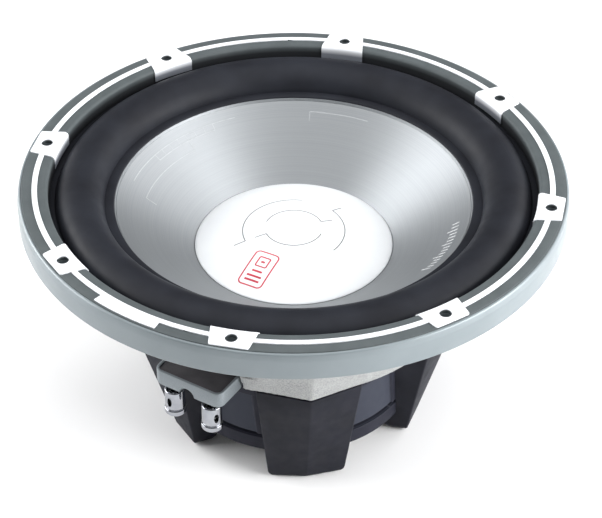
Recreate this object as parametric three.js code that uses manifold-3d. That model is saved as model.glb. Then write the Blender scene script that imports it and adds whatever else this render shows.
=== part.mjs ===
// A 12-inch car subwoofer, standing on the five feet of its magnet boot with the cone facing up.
// Millimetres, +Z up, origin on the driver's axis in the plane of the feet.
import * as THREE from 'three';
import { mergeVertices } from 'three/addons/utils/BufferGeometryUtils.js';
import Module from 'manifold-3d';

const wasm = await Module();
wasm.setup();

// ---- driving dimensions ---------------------------------------------------------------
const SEGMENTS = 32;             // sides of the round parts inside the rim
const RIM_SEGMENTS = 48;         // sides of the rim's rings
const SMALL_SEGMENTS = 10;       // sides of holes, screws and pins

const BOLT_CIRCLE_R = 148;
const BOLT_COUNT = 8;
const BOLT_HOLE_R = 3.4;
const FIRST_BOLT_DEG = 77.4;

const RIM_R = 158;               // outer wall of the silver trim
const RIM_INNER_R = 139.8;        // inner edge of the trim and the gasket
const RIM_BASE = 148.5;          // underside of the flange: the face that meets the baffle
const FLANGE_THICK = 5;
const FLANGE_INNER_R = 134;
const FLANGE_OUTER_R = 154.5;
const TRIM_TOP = 163;
const GASKET_THICK = 2;
const GASKET_TOP = TRIM_TOP + GASKET_THICK;
const INLAY_THICK = 0.625;

const LEG_COUNT = 5;
const FIRST_LEG_DEG = -84.2;
const LEG_TOP = 81;
const LEG_RIDGE_R = 101.1;       // the leg's outer ridge at its top
const LEG_SLOPE = 0.294;         // how far the ridge leans in for each millimetre down
const LEG_DROP_TOP = 12;         // the leg's edges stand this far behind its ridge at the top
const LEG_DROP_FOOT = 3;
const LEG_HALF_TOP = 29.7;
const LEG_HALF_FOOT = 21.5;
const LEG_WALL = 4;
const FOOT_INNER_R = 60;
const LEG_ROOM_R = 89.5;         // inside the leg's wall above the drum, where the spoke's foot stands

const HUB_BASE = 66;             // top plate's upper face, on which the basket stands
const HUB_R = 76;
const HUB_BORE_R = 44;
const HUB_FLOOR_TOP = 71;
const SCREW_CIRCLE_R = 56;
const SHELF_Z = 88;              // ledge inside the hub that holds the spider's rim
const SHELF_R = 72.5;
const SHELF_BORE_R = 64;
const SHELF_THICK = 2.5;

const CONE_EDGE_R = 103.5;
const CONE_EDGE_Z = 148.9;
const CONE_SLOPE = 0.718;        // rise over run of the cone's face
const CONE_THICK = 1.2;
const CAP_R = 58.1;
const CAP_RISE = 11;
const FORMER_R = 31.8;           // inside of the voice-coil former
const SURROUND_FOOT_R = 109;     // where the roll starts
const SURROUND_OUTER_R = 137;    // where the roll ends
const ROLL_RISE = 12.5;
const RUBBER = 1.6;

const MOTOR_R = 67.5;
const POLE_R = 30.4;
const GAP_OUTER_R = 34.7;        // bore of the top plate
const YOKE_BASE = 20;
const YOKE_THICK = 10;
const TOP_PLATE_THICK = 8;
const MAGNET_THICK = 14;
const MAGNET_BORE_R = 42;
const VENT_R = 12;
const SCREEN_THICK = 1.5;

const COIL_BASE = 52;
const COIL_TOP = 82;
const COIL_THICK = 1.3;
const FORMER_BASE = 50;
const FORMER_TOP = 99;
const FORMER_THICK = 0.7;

const TERMINAL_DEG = -122;
const SHELL_HALF = 22.5;         // terminal shell: half its width along the rim
const SHELL_IN = 88;             // and its radial span
const SHELL_OUT = 113.5;
const SHELL_BASE = 82;
const SHELL_TOP = 92;
const SHELL_CORNER = 5;
const SHELL_FLOOR_TOP = 84;
const COVER_THICK = 1.25;
const COVER_DROP = 2;            // the cover's seat lies this far under the shell's top
const NOTCH_R = 5;               // half-round notch in the shell's outer wall, between the posts
const POST_HALF_SPAN = 12.6;     // half the distance between the two binding posts
const POST_AT = 107.5;           // their distance from the axis, along the terminal's direction
const POST_TOP = 77.5;
const POST_BASE = 60.5;

// ---- helpers --------------------------------------------------------------------------
const rad = THREE.MathUtils.degToRad;

function signedArea(points) {
  return points.reduce((sum, [x, y], i) => {
    const [nx, ny] = points[(i + 1) % points.length];
    return sum + (x * ny - nx * y) / 2;
  }, 0);
}

// A solid of revolution about Z from an outline of [radius, height] corners.
function turned(outline, segments = SEGMENTS) {
  const corners = signedArea(outline) > 0 ? outline : [...outline].reverse();
  const points = corners.map(([r, z]) => new THREE.Vector2(r, z));
  if (corners.every(([r]) => r > 0)) points.push(points[0].clone());
  const geometry = new THREE.LatheGeometry(points, segments);
  geometry.rotateX(Math.PI / 2);
  return geometry;
}

// Extrudes a flat shape along +Z from a base height.
function slab(shape, base, height) {
  const geometry = new THREE.ExtrudeGeometry(shape, { depth: height, bevelEnabled: false, curveSegments: 4 });
  geometry.translate(0, 0, base);
  return geometry;
}

function polygon(corners) {
  return new THREE.Shape(corners.map(([x, y]) => new THREE.Vector2(x, y)));
}

function roundedRect(x0, x1, y0, y1, r) {
  const shape = new THREE.Shape();
  shape.moveTo(x0 + r, y0);
  shape.lineTo(x1 - r, y0);
  shape.absarc(x1 - r, y0 + r, r, -Math.PI / 2, 0);
  shape.lineTo(x1, y1 - r);
  shape.absarc(x1 - r, y1 - r, r, 0, Math.PI / 2);
  shape.lineTo(x0 + r, y1);
  shape.absarc(x0 + r, y1 - r, r, Math.PI / 2, Math.PI);
  shape.lineTo(x0, y0 + r);
  shape.absarc(x0 + r, y0 + r, r, Math.PI, Math.PI * 1.5);
  return shape;
}

// A skin through sections that have the same number of [x, y, z] corners, closed at both ends.
function loft(sections) {
  const count = sections[0].length;
  const corners = sections.flat();
  const triangles = [];
  for (let s = 0; s < sections.length - 1; s++) {
    for (let i = 0; i < count; i++) {
      const a = s * count + i;
      const b = s * count + ((i + 1) % count);
      triangles.push(a, b, b + count, a, b + count, a + count);
    }
  }
  const flat = (section) => section.map(([x, y]) => new THREE.Vector2(x, y));
  const last = corners.length - count;
  for (const [a, b, c] of THREE.ShapeUtils.triangulateShape(flat(sections[0]), [])) {
    triangles.push(a, c, b);
  }
  for (const [a, b, c] of THREE.ShapeUtils.triangulateShape(flat(sections.at(-1)), [])) {
    triangles.push(last + a, last + b, last + c);
  }
  const geometry = new THREE.BufferGeometry();
  geometry.setAttribute('position', new THREE.Float32BufferAttribute(corners.flat(), 3));
  geometry.setIndex(triangles);
  return geometry;
}

// A solid for cutting and joining, made from a closed geometry.
function solid(geometry) {
  const bare = geometry.clone();
  bare.deleteAttribute('normal');
  bare.deleteAttribute('uv');
  const merged = mergeVertices(bare, 1e-4);
  const index = merged.index.array;
  const kept = [];
  for (let i = 0; i < index.length; i += 3) {
    const [a, b, c] = [index[i], index[i + 1], index[i + 2]];
    if (a !== b && b !== c && c !== a) kept.push(a, b, c);
  }
  return new wasm.Manifold(new wasm.Mesh({
    numProp: 3,
    vertProperties: merged.attributes.position.array,
    triVerts: new Uint32Array(kept),
  }));
}

function geometryOf(manifold) {
  const data = manifold.getMesh();
  const geometry = new THREE.BufferGeometry();
  geometry.setAttribute('position', new THREE.BufferAttribute(data.vertProperties, data.numProp));
  geometry.setIndex(new THREE.BufferAttribute(data.triVerts, 1));
  geometry.computeVertexNormals();
  return geometry;
}

function joined(first, ...rest) {
  return rest.reduce((sum, next) => sum.add(next), first);
}

function cutBy(body, ...tools) {
  return tools.reduce((rest, tool) => rest.subtract(tool), body);
}

// An upright pin of radius r between two heights, centred on [x, y].
function pin(r, z0, z1, x = 0, y = 0, segments = SMALL_SEGMENTS) {
  const geometry = new THREE.CylinderGeometry(r, r, z1 - z0, segments);
  geometry.rotateX(Math.PI / 2);
  geometry.translate(x, y, (z0 + z1) / 2);
  return geometry;
}

// A pin lying along the local Y direction.
function crossPin(r, y0, y1, x, z, segments = SMALL_SEGMENTS) {
  const geometry = new THREE.CylinderGeometry(r, r, y1 - y0, segments);
  geometry.translate(x, (y0 + y1) / 2, z);
  return geometry;
}

function block(x0, x1, y0, y1, z0, z1) {
  const geometry = new THREE.BoxGeometry(x1 - x0, y1 - y0, z1 - z0);
  geometry.translate((x0 + x1) / 2, (y0 + y1) / 2, (z0 + z1) / 2);
  return geometry;
}

// Turns a geometry drawn with its local Y axis pointing away from the driver's axis.
function facing(geometry, degrees) {
  return geometry.clone().rotateZ(rad(degrees - 90));
}

function around(radius, degrees) {
  return [radius * Math.cos(rad(degrees)), radius * Math.sin(rad(degrees))];
}

// ---- materials ------------------------------------------------------------------------
const finish = (color, roughness, metalness = 0) => (
  new THREE.MeshStandardMaterial({ color, roughness, metalness })
);
const castAluminium = finish(0xc3c6c8, 0.45, 0.8);
const silverPaint = finish(0xa9b2b6, 0.35, 0.5);
const greyRubber = finish(0x6b7172, 0.8);
const whitePlastic = finish(0xf2f4f6, 0.4);
const blackRubber = finish(0x25272d, 0.6);
const coneSkin = finish(0xbfc2c4, 0.35, 0.7);
const capSkin = finish(0xf0f1f2, 0.4);
const brownFormer = finish(0x7a4a22, 0.6);
const copper = finish(0xb4703a, 0.4, 0.9);
const spiderCloth = finish(0xb59b5c, 0.95);
const zincSteel = finish(0x9a9c9c, 0.4, 0.9);
const ferrite = finish(0x2b2b2e, 0.8);
const bootRubber = finish(0x303238, 0.7);
const chrome = finish(0xd6d8da, 0.12, 1);
const blackPlastic = finish(0x35363a, 0.6);
const springSteel = finish(0x8d8f92, 0.35, 0.9);
const silverBraid = finish(0xc9c4b8, 0.5, 0.6);

const driver = new THREE.Group();

function addPart(name, shape, material, degrees = null) {
  const body = shape instanceof THREE.BufferGeometry ? solid(shape) : shape;
  const mesh = new THREE.Mesh(geometryOf(body), material);
  mesh.name = name;
  if (degrees !== null) mesh.rotation.z = rad(degrees - 90);
  driver.add(mesh);
  return mesh;
}

// ---- basket: flange, five V-section spokes, skirt, hub floor, spider shelf and terminal tab -------
const legDegrees = Array.from({ length: LEG_COUNT }, (_, i) => FIRST_LEG_DEG + (i * 360) / LEG_COUNT);
const boltDegrees = Array.from({ length: BOLT_COUNT }, (_, i) => FIRST_BOLT_DEG - (i * 360) / BOLT_COUNT);
const screwDegrees = legDegrees.map((degrees) => degrees + 180 / LEG_COUNT);

function boltPins(radius, z0, z1) {
  return boltDegrees.map((degrees) => solid(pin(radius, z0, z1, ...around(BOLT_CIRCLE_R, degrees))));
}

// One level of a spoke: a V whose ridge points outwards.
function spokeLevel([z, ridge, half, drop, wall]) {
  return [
    [-half, ridge - drop - wall, z],
    [0, ridge - wall, z],
    [half, ridge - drop - wall, z],
    [half, ridge - drop, z],
    [0, ridge, z],
    [-half, ridge - drop, z],
  ];
}

const SPOKE_LEVELS = [
  // height, ridge radius, half width, drop to the edges, wall
  [HUB_BASE, 87.5, 27, 8, 14],
  [LEG_TOP, 88.5, 27, 9, 14],
  [LEG_TOP + 0.4, LEG_RIDGE_R, 36, 14, 16],
  [LEG_TOP + 6, LEG_RIDGE_R + 1.8, 34, 12, 7],
  [102, 107.6, 29, 9, 6],
  [126, 116.5, 25, 7, 6],
  [141, 129, 28, 7, 6.5],
  [RIM_BASE + 2, 144, 36, 6, 9],
];

const flange = solid(turned([
  [FLANGE_INNER_R, RIM_BASE],
  [FLANGE_OUTER_R, RIM_BASE],
  [FLANGE_OUTER_R, RIM_BASE + FLANGE_THICK],
  [FLANGE_INNER_R, RIM_BASE + FLANGE_THICK],
]));

const SHELF_WALL = 3;
const hub = solid(turned([
  [HUB_BORE_R, HUB_BASE],
  [HUB_R - 3, HUB_BASE],
  [HUB_R, HUB_BASE + 3],
  [HUB_R, HUB_FLOOR_TOP],
  [SHELF_R, HUB_FLOOR_TOP],
  [SHELF_R, SHELF_Z],
  [SHELF_BORE_R, SHELF_Z],
  [SHELF_BORE_R, SHELF_Z - SHELF_THICK],
  [SHELF_R - SHELF_WALL, SHELF_Z - SHELF_THICK],
  [SHELF_R - SHELF_WALL, HUB_FLOOR_TOP],
  [HUB_BORE_R, HUB_FLOOR_TOP],
]));

const spokeShape = loft(SPOKE_LEVELS.map(spokeLevel));
const spokes = legDegrees.map((degrees) => solid(facing(spokeShape, degrees)));

// The terminal block stands on a tab of the basket, between two spokes.
const SHELL_GAP = 0.5;
const TAB_BASE = 72;
const TERMINAL_SCREWS = [-2, -14];
const TERMINAL_SCREW_AT = 94;
const TERMINAL_SCREW_R = 1.8;
const HUB_SCREW_R = 2.3;
const shellRoom = solid(facing(
  block(
    -SHELL_HALF - SHELL_GAP,
    SHELL_HALF + SHELL_GAP,
    SHELL_IN - SHELL_GAP,
    SHELL_OUT + 5,
    SHELL_BASE,
    SHELL_TOP + SHELL_GAP,
  ),
  TERMINAL_DEG,
));
const terminalTab = solid(facing(block(-20, 4, 70.5, 96.5, TAB_BASE, SHELL_BASE), TERMINAL_DEG));

// A skirt joins the spokes just above the legs, and is open where the terminal block stands.
const SKIRT_BASE = LEG_TOP + 0.2;
const SKIRT_TOP = 94;
const skirtGap = solid(facing(
  block(-SHELL_HALF - 1, SHELL_HALF + 1, SHELL_IN - 12, SHELL_OUT, SKIRT_BASE - 1, SKIRT_TOP + 1),
  TERMINAL_DEG,
));
const skirt = cutBy(solid(turned([
  [87.5, SKIRT_BASE],
  [94.4, SKIRT_BASE],
  [99, SKIRT_TOP],
  [92.5, SKIRT_TOP],
])), skirtGap);
const tabHoles = TERMINAL_SCREWS.map((x) => (
  solid(facing(pin(TERMINAL_SCREW_R + 0.3, TAB_BASE + 2, SHELL_BASE + 1, x, TERMINAL_SCREW_AT), TERMINAL_DEG))
));
const hubHoles = screwDegrees.map((degrees) => (
  solid(pin(HUB_SCREW_R + 0.5, HUB_BASE - 1, HUB_FLOOR_TOP + 1, ...around(SCREW_CIRCLE_R, degrees)))
));
const basketBlank = cutBy(joined(flange, skirt, ...spokes), shellRoom);
const basket = cutBy(
  joined(basketBlank, hub, terminalTab),
  ...boltPins(BOLT_HOLE_R, RIM_BASE - 1, RIM_BASE + FLANGE_THICK + 1),
  ...hubHoles,
  ...tabHoles,
);
addPart('basket', basket, castAluminium);

// ---- rim: silver trim, grey gasket over it, white inlay on the gasket -------------------------
const FLANGE_TOP = RIM_BASE + FLANGE_THICK;
const WALL_BASE = FLANGE_TOP + 1.75;       // lower end of the trim's and the gasket's inner walls
const TRIM_SKIN = 3;
const TRIM_INNER_R = RIM_INNER_R + GASKET_THICK;
const GASKET_OUTER_R = 155.6;
const EDGE_STEPS = 3;

// The gasket's rounded inner edge, from the top inwards and down, for a skin that stands
// so far out from the gasket's surface.
function innerEdge(grow) {
  return Array.from({ length: EDGE_STEPS + 1 }, (_, i) => {
    const angle = (Math.PI / 2) * (i / EDGE_STEPS);
    const radius = GASKET_THICK + grow;
    return [TRIM_INNER_R - radius * Math.sin(angle), TRIM_TOP + radius * Math.cos(angle)];
  });
}

const trimChannel = solid(turned([
  [FLANGE_OUTER_R + 0.8, RIM_BASE],
  [RIM_R, RIM_BASE],
  [RIM_R, TRIM_TOP - 3],
  [RIM_R - 0.5, TRIM_TOP - 0.4],
  [RIM_R - 1.3, TRIM_TOP + 1.1],
  [GASKET_OUTER_R + 0.1, GASKET_TOP - 0.4],
  [GASKET_OUTER_R + 0.1, TRIM_TOP],
  [TRIM_INNER_R, TRIM_TOP],
  [TRIM_INNER_R, WALL_BASE],
  [TRIM_INNER_R + 2, WALL_BASE],
  [TRIM_INNER_R + 2, TRIM_TOP - TRIM_SKIN],
  [FLANGE_OUTER_R + 0.8, TRIM_TOP - TRIM_SKIN],
], RIM_SEGMENTS));
const trimBosses = boltPins(BOLT_HOLE_R + 1.2, FLANGE_TOP, TRIM_TOP - TRIM_SKIN + 0.5);
const trim = cutBy(
  joined(trimChannel, ...trimBosses),
  ...boltPins(BOLT_HOLE_R, FLANGE_TOP - 1, TRIM_TOP + 1),
);
addPart('trim_bezel', trim, silverPaint);

const gasketRing = solid(turned([
  [GASKET_OUTER_R, TRIM_TOP],
  [GASKET_OUTER_R, GASKET_TOP - 0.5],
  [GASKET_OUTER_R - 0.5, GASKET_TOP],
  ...innerEdge(0),
  [RIM_INNER_R, WALL_BASE],
  [TRIM_INNER_R, WALL_BASE],
  [TRIM_INNER_R, TRIM_TOP],
], RIM_SEGMENTS));
addPart('gasket', cutBy(gasketRing, ...boltPins(BOLT_HOLE_R, TRIM_TOP - 1, GASKET_TOP + 1)), greyRubber);

// The inlay is a thin skin over the gasket, kept only where its outline lies: a narrow stripe,
// a pad round each bolt hole that wraps over the inner edge, and one long pad.
const STRIPE_IN = 146.2;
const STRIPE_OUT = 149.5;
const PAD_OUT = 155;
const PAD_BASE = GASKET_TOP - 8;
const PAD_HALF_IN = 13.2;
const PAD_HALF_OUT = 10.6;
const PAD_CORNER = 1.4;
const LONG_PAD_DEG = [-133, -118];
const LONG_PAD_STEPS = 4;
const OUTLINE_BASE = PAD_BASE - 2;         // the outlines are cut from below the skin to above it
const OUTLINE_HEIGHT = INLAY_THICK + GASKET_TOP - OUTLINE_BASE + 2;
const inlaySkin = solid(turned([
  ...innerEdge(INLAY_THICK),
  [RIM_INNER_R - INLAY_THICK, PAD_BASE],
  [RIM_INNER_R, PAD_BASE],
  ...innerEdge(0).toReversed(),
  [PAD_OUT + 1, GASKET_TOP],
  [PAD_OUT + 1, GASKET_TOP + INLAY_THICK],
], RIM_SEGMENTS));
const stripe = solid(turned([
  [STRIPE_IN, OUTLINE_BASE],
  [STRIPE_OUT, OUTLINE_BASE],
  [STRIPE_OUT, OUTLINE_BASE + OUTLINE_HEIGHT],
  [STRIPE_IN, OUTLINE_BASE + OUTLINE_HEIGHT],
], RIM_SEGMENTS));
const padShape = slab(polygon([
  [-PAD_HALF_IN, RIM_INNER_R - 2],
  [PAD_HALF_IN, RIM_INNER_R - 2],
  [PAD_HALF_OUT + PAD_CORNER * 0.8, PAD_OUT - PAD_CORNER],
  [PAD_HALF_OUT - PAD_CORNER * 0.8, PAD_OUT],
  [-PAD_HALF_OUT + PAD_CORNER * 0.8, PAD_OUT],
  [-PAD_HALF_OUT - PAD_CORNER * 0.8, PAD_OUT - PAD_CORNER],
]), OUTLINE_BASE, OUTLINE_HEIGHT);
const pads = boltDegrees.map((degrees) => solid(facing(padShape, degrees)));
const longPadDegrees = Array.from({ length: LONG_PAD_STEPS + 1 }, (_, i) => (
  THREE.MathUtils.lerp(...LONG_PAD_DEG, i / LONG_PAD_STEPS)
));
const longPad = solid(slab(polygon([
  ...longPadDegrees.map((degrees) => around(PAD_OUT - 0.5, degrees)),
  ...longPadDegrees.toReversed().map((degrees) => around(STRIPE_IN + 1, degrees)),
]), OUTLINE_BASE, OUTLINE_HEIGHT));
const inlay = cutBy(
  inlaySkin.intersect(joined(stripe, ...pads, longPad)),
  ...boltPins(BOLT_HOLE_R, GASKET_TOP - 1, GASKET_TOP + 2),
);
addPart('inlay_ring', inlay, whitePlastic);

// ---- surround: half-roll of rubber between the cone's lip and the flange -----------------
const ROLL_STEPS = 5;
const LIP_TOP = CONE_EDGE_Z + 0.6;

function rollPoint(t, offset) {
  const angle = Math.PI * (1 - t);
  const centre = (SURROUND_FOOT_R + SURROUND_OUTER_R) / 2;
  const half = (SURROUND_OUTER_R - SURROUND_FOOT_R) / 2 - offset;
  const base = THREE.MathUtils.lerp(LIP_TOP, FLANGE_TOP, t);
  return [centre + half * Math.cos(angle), base + (ROLL_RISE - offset) * Math.sin(angle)];
}

const rollTimes = Array.from({ length: ROLL_STEPS }, (_, i) => i / (ROLL_STEPS - 1));
const SURROUND_FOOT = 1.2;       // thickness of the flat foot glued to the cone's lip
const OUTER_FOOT = 1.5;          // and of the foot that is glued to the flange
addPart('surround', turned([
  [CONE_EDGE_R, LIP_TOP + SURROUND_FOOT],
  [SURROUND_FOOT_R - 0.6, LIP_TOP + SURROUND_FOOT],
  ...rollTimes.slice(1, -1).map((t) => rollPoint(t, 0)),
  [SURROUND_OUTER_R + 0.3, FLANGE_TOP + OUTER_FOOT],
  [TRIM_INNER_R - 0.5, FLANGE_TOP + OUTER_FOOT],
  [TRIM_INNER_R - 0.5, FLANGE_TOP],
  [SURROUND_OUTER_R - 1.3, FLANGE_TOP],
  ...rollTimes.slice(1, -1).toReversed().map((t) => rollPoint(t, RUBBER)),
  [SURROUND_FOOT_R, LIP_TOP],
  [CONE_EDGE_R, LIP_TOP],
]), blackRubber);

// ---- moving assembly: cone, dust cap, former, coil ----------------------------------------
const coneFaceZ = (r) => CONE_EDGE_Z - (CONE_EDGE_R - r) * CONE_SLOPE;
const FORMER_OUT = FORMER_R + FORMER_THICK;
const NECK_R = FORMER_OUT + 0.2;
addPart('cone', turned([
  [NECK_R, coneFaceZ(NECK_R) - 2.4],
  [CONE_EDGE_R + 0.6, CONE_EDGE_Z - CONE_THICK - 0.4],
  [SURROUND_FOOT_R - 0.4, CONE_EDGE_Z - CONE_THICK + 0.6],
  [SURROUND_FOOT_R - 0.4, LIP_TOP],
  [CONE_EDGE_R + 0.2, LIP_TOP],
  [CONE_EDGE_R, CONE_EDGE_Z],
  [NECK_R, coneFaceZ(NECK_R)],
]), coneSkin);

const capBall = (CAP_R * CAP_R + CAP_RISE * CAP_RISE) / (2 * CAP_RISE);
const CAP_EDGE_Z = coneFaceZ(CAP_R) + 0.9;
const CAP_SKIN = 1.2;
const CAP_STEPS = 5;
function domePoint(t, skin) {
  const reach = Math.asin(CAP_R / capBall) * t;
  const ball = capBall - skin;
  return [ball * Math.sin(reach), CAP_EDGE_Z + CAP_RISE - capBall + ball * Math.cos(reach)];
}
const capTimes = Array.from({ length: CAP_STEPS }, (_, i) => i / (CAP_STEPS - 1));
addPart('dust_cap', turned([
  ...capTimes.map((t) => domePoint(t, CAP_SKIN)),
  ...capTimes.toReversed().map((t) => domePoint(t, 0)),
]), capSkin);

addPart('coil_former', turned([
  [FORMER_R, FORMER_BASE],
  [FORMER_OUT, FORMER_BASE],
  [FORMER_OUT, FORMER_TOP],
  [FORMER_R, FORMER_TOP],
]), brownFormer);
const GLUE_GAP = 0.05;
addPart('voice_coil', turned([
  [FORMER_OUT + GLUE_GAP, COIL_BASE],
  [FORMER_OUT + GLUE_GAP + COIL_THICK, COIL_BASE],
  [FORMER_OUT + GLUE_GAP + COIL_THICK, COIL_TOP],
  [FORMER_OUT + GLUE_GAP, COIL_TOP],
]), copper);

// ---- spider: a corrugated cloth disc that centres the coil --------------------------------
const SPIDER_ROLLS = 3;
const SPIDER_WAVE = 1.8;
const SPIDER_CLOTH = 1;
const SPIDER_COLLAR = 6;         // height of the collar glued to the former
const spiderWave = Array.from({ length: SPIDER_ROLLS * 2 + 1 }, (_, i) => {
  const swing = [0, SPIDER_WAVE, -SPIDER_WAVE][i === 0 ? 0 : 2 - (i % 2)];
  return [THREE.MathUtils.lerp(38, SHELF_BORE_R, i / (SPIDER_ROLLS * 2)), SHELF_Z + 2 + swing];
});
addPart('spider', turned([
  [NECK_R, SHELF_Z + 1],
  ...spiderWave,
  [SHELF_BORE_R + 2, SHELF_Z],
  [SHELF_R - 0.5, SHELF_Z],
  [SHELF_R - 0.5, SHELF_Z + SPIDER_CLOTH],
  [SHELF_BORE_R + 2.5, SHELF_Z + SPIDER_CLOTH],
  ...spiderWave.toReversed().map(([r, z]) => [r, z + SPIDER_CLOTH]),
  [NECK_R + 1.2, SHELF_Z + 3.5],
  [NECK_R + 1, SHELF_Z + SPIDER_COLLAR],
  [NECK_R, SHELF_Z + SPIDER_COLLAR],
]), spiderCloth);

// ---- motor: top plate, two ferrite rings, yoke with vented pole, shorting ring ------------
const PLATE_BASE = HUB_BASE - TOP_PLATE_THICK;
const plateHoles = screwDegrees.map((degrees) => (
  solid(pin(HUB_SCREW_R + 0.3, PLATE_BASE + 1, HUB_BASE + 1, ...around(SCREW_CIRCLE_R, degrees)))
));
const topPlate = cutBy(solid(turned([
  [GAP_OUTER_R, PLATE_BASE],
  [MOTOR_R, PLATE_BASE],
  [MOTOR_R, HUB_BASE],
  [GAP_OUTER_R, HUB_BASE],
])), ...plateHoles);
addPart('top_plate', topPlate, zincSteel);

function magnet(name, base) {
  addPart(name, turned([
    [MAGNET_BORE_R, base],
    [MOTOR_R, base],
    [MOTOR_R, base + MAGNET_THICK],
    [MAGNET_BORE_R, base + MAGNET_THICK],
  ]), ferrite);
}
const YOKE_TOP = YOKE_BASE + YOKE_THICK;
magnet('magnet_rear', YOKE_TOP);
magnet('magnet_front', YOKE_TOP + MAGNET_THICK);

const SCREEN_R = VENT_R + 1.7;
const SCREEN_TOP = YOKE_BASE + 3;
addPart('yoke', turned([
  [VENT_R + 2, YOKE_BASE],
  [MOTOR_R - 1.5, YOKE_BASE],
  [MOTOR_R - 0.3, YOKE_BASE + 1.2],
  [MOTOR_R - 0.3, YOKE_TOP],
  [POLE_R, YOKE_TOP],
  [POLE_R, HUB_BASE + 1],
  [POLE_R - 1.5, HUB_BASE + 2.5],
  [VENT_R + 2, HUB_BASE + 2.5],
  [VENT_R, HUB_BASE - 3],
  [VENT_R, SCREEN_TOP],
  [VENT_R + 2, SCREEN_TOP],
]), zincSteel);
const SLEEVE_OUT_R = POLE_R + 0.8;
addPart('shorting_ring', turned([
  [POLE_R + GLUE_GAP, FORMER_BASE],
  [SLEEVE_OUT_R, FORMER_BASE],
  [SLEEVE_OUT_R, HUB_BASE + 1],
  [POLE_R + GLUE_GAP, HUB_BASE + 1],
]), copper);

const SCREEN_HOLES = 6;
const SCREEN_HOLE_R = 2.8;
const SCREEN_HOLE_CIRCLE_R = 7.8;
const screenHoleSpots = [
  [0, 0],
  ...Array.from({ length: SCREEN_HOLES }, (_, i) => around(SCREEN_HOLE_CIRCLE_R, (i * 360) / SCREEN_HOLES)),
];
const screen = cutBy(
  solid(pin(SCREEN_R, SCREEN_TOP - SCREEN_THICK, SCREEN_TOP, 0, 0, SEGMENTS)),
  ...screenHoleSpots.map((spot) => solid(pin(SCREEN_HOLE_R, SCREEN_TOP - 3, SCREEN_TOP + 1, ...spot, 8))),
);
addPart('vent_screen', screen, blackPlastic);

screwDegrees.forEach((degrees, i) => {
  const screw = turned([
    [0, PLATE_BASE + 1.5],
    [HUB_SCREW_R, PLATE_BASE + 1.5],
    [HUB_SCREW_R, HUB_FLOOR_TOP],
    [HUB_SCREW_R * 2, HUB_FLOOR_TOP],
    [HUB_SCREW_R * 2, HUB_FLOOR_TOP + 3.5],
    [HUB_SCREW_R * 2 - 0.7, HUB_FLOOR_TOP + 4],
    [0, HUB_FLOOR_TOP + 4],
  ], SMALL_SEGMENTS);
  screw.translate(...around(SCREW_CIRCLE_R, degrees), 0);
  addPart(`hub_screw_${i + 1}`, screw, zincSteel);
});

// ---- boot: drum around the magnets and six hollow legs ------------------------------------
const DRUM_BASE = 16.5;
const DRUM_R = 72.5;
const DRUM_TOP = HUB_BASE - 0.5;
const DRUM_LIP_R = 62;           // the drum's lower lip reaches in this far under the yoke
const DRUM_BORE_R = MOTOR_R + 0.9;
const GROOVE_BASE = 25.2;        // a groove runs round the drum
const GROOVE_TOP = 27.2;
const GROOVE_DEPTH = 1.9;
const PANEL_TOP = 56;            // above the groove the wall is a shallow panel
const PANEL_DEPTH = 0.7;
addPart('boot_drum', turned([
  [DRUM_LIP_R, DRUM_BASE],
  [DRUM_R - 0.8, DRUM_BASE],
  [DRUM_R, DRUM_BASE + 0.8],
  [DRUM_R, GROOVE_BASE - PANEL_DEPTH],
  [DRUM_R - GROOVE_DEPTH, GROOVE_BASE],
  [DRUM_R - GROOVE_DEPTH, GROOVE_TOP],
  [DRUM_R - PANEL_DEPTH, GROOVE_TOP + 0.8],
  [DRUM_R - PANEL_DEPTH, PANEL_TOP],
  [DRUM_R, PANEL_TOP + 1],
  [DRUM_R, DRUM_TOP],
  [DRUM_BORE_R, DRUM_TOP],
  [DRUM_BORE_R, YOKE_BASE],
  [DRUM_LIP_R, YOKE_BASE],
]), bootRubber);

// One level of a leg at a height, drawn smaller all round by an inset.
function legLevel(z, inset, innerR) {
  const ridge = LEG_RIDGE_R - LEG_SLOPE * (LEG_TOP - z) - inset;
  const half = THREE.MathUtils.lerp(LEG_HALF_FOOT, LEG_HALF_TOP, z / LEG_TOP) - inset;
  const drop = THREE.MathUtils.lerp(LEG_DROP_FOOT, LEG_DROP_TOP, z / LEG_TOP);
  return [
    [-half, innerR + inset, z],
    [half, innerR + inset, z],
    [half, ridge - drop, z],
    [0, ridge, z],
    [-half, ridge - drop, z],
  ];
}

const FOOT_ROUND = 7;
const FOOT_PULL = 0.75;          // the rounding pulls the foot in by this share of its height
const FOOT_STEPS = 4;
const LEG_GAP = 0.3;
const footLevels = Array.from({ length: FOOT_STEPS }, (_, i) => {
  const angle = (Math.PI / 2) * (i / (FOOT_STEPS - 1));
  const height = FOOT_ROUND * (1 - Math.cos(angle));
  const inset = FOOT_ROUND * (1 - Math.sin(angle)) * FOOT_PULL;
  return legLevel(height, inset, FOOT_INNER_R);
});
const legBlank = solid(loft([...footLevels, legLevel(LEG_TOP, 0, FOOT_INNER_R)]));
const legHollow = solid(loft([
  legLevel(LEG_WALL + 1, LEG_WALL, FOOT_INNER_R),
  legLevel(LEG_TOP - LEG_WALL, LEG_WALL, FOOT_INNER_R),
]));
const legRoom = solid(turned([
  [0, DRUM_BASE - LEG_GAP],
  [DRUM_R + LEG_GAP, DRUM_BASE - LEG_GAP],
  [DRUM_R + LEG_GAP, DRUM_TOP + LEG_GAP],
  [LEG_ROOM_R, DRUM_TOP + LEG_GAP],
  [LEG_ROOM_R, LEG_TOP + 1],
  [0, LEG_TOP + 1],
]));
legDegrees.forEach((degrees, i) => {
  const turnedRoom = legRoom.rotate([0, 0, 90 - degrees]);
  addPart(`boot_leg_${i + 1}`, cutBy(legBlank, legHollow, turnedRoom), bootRubber, degrees);
});

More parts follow.
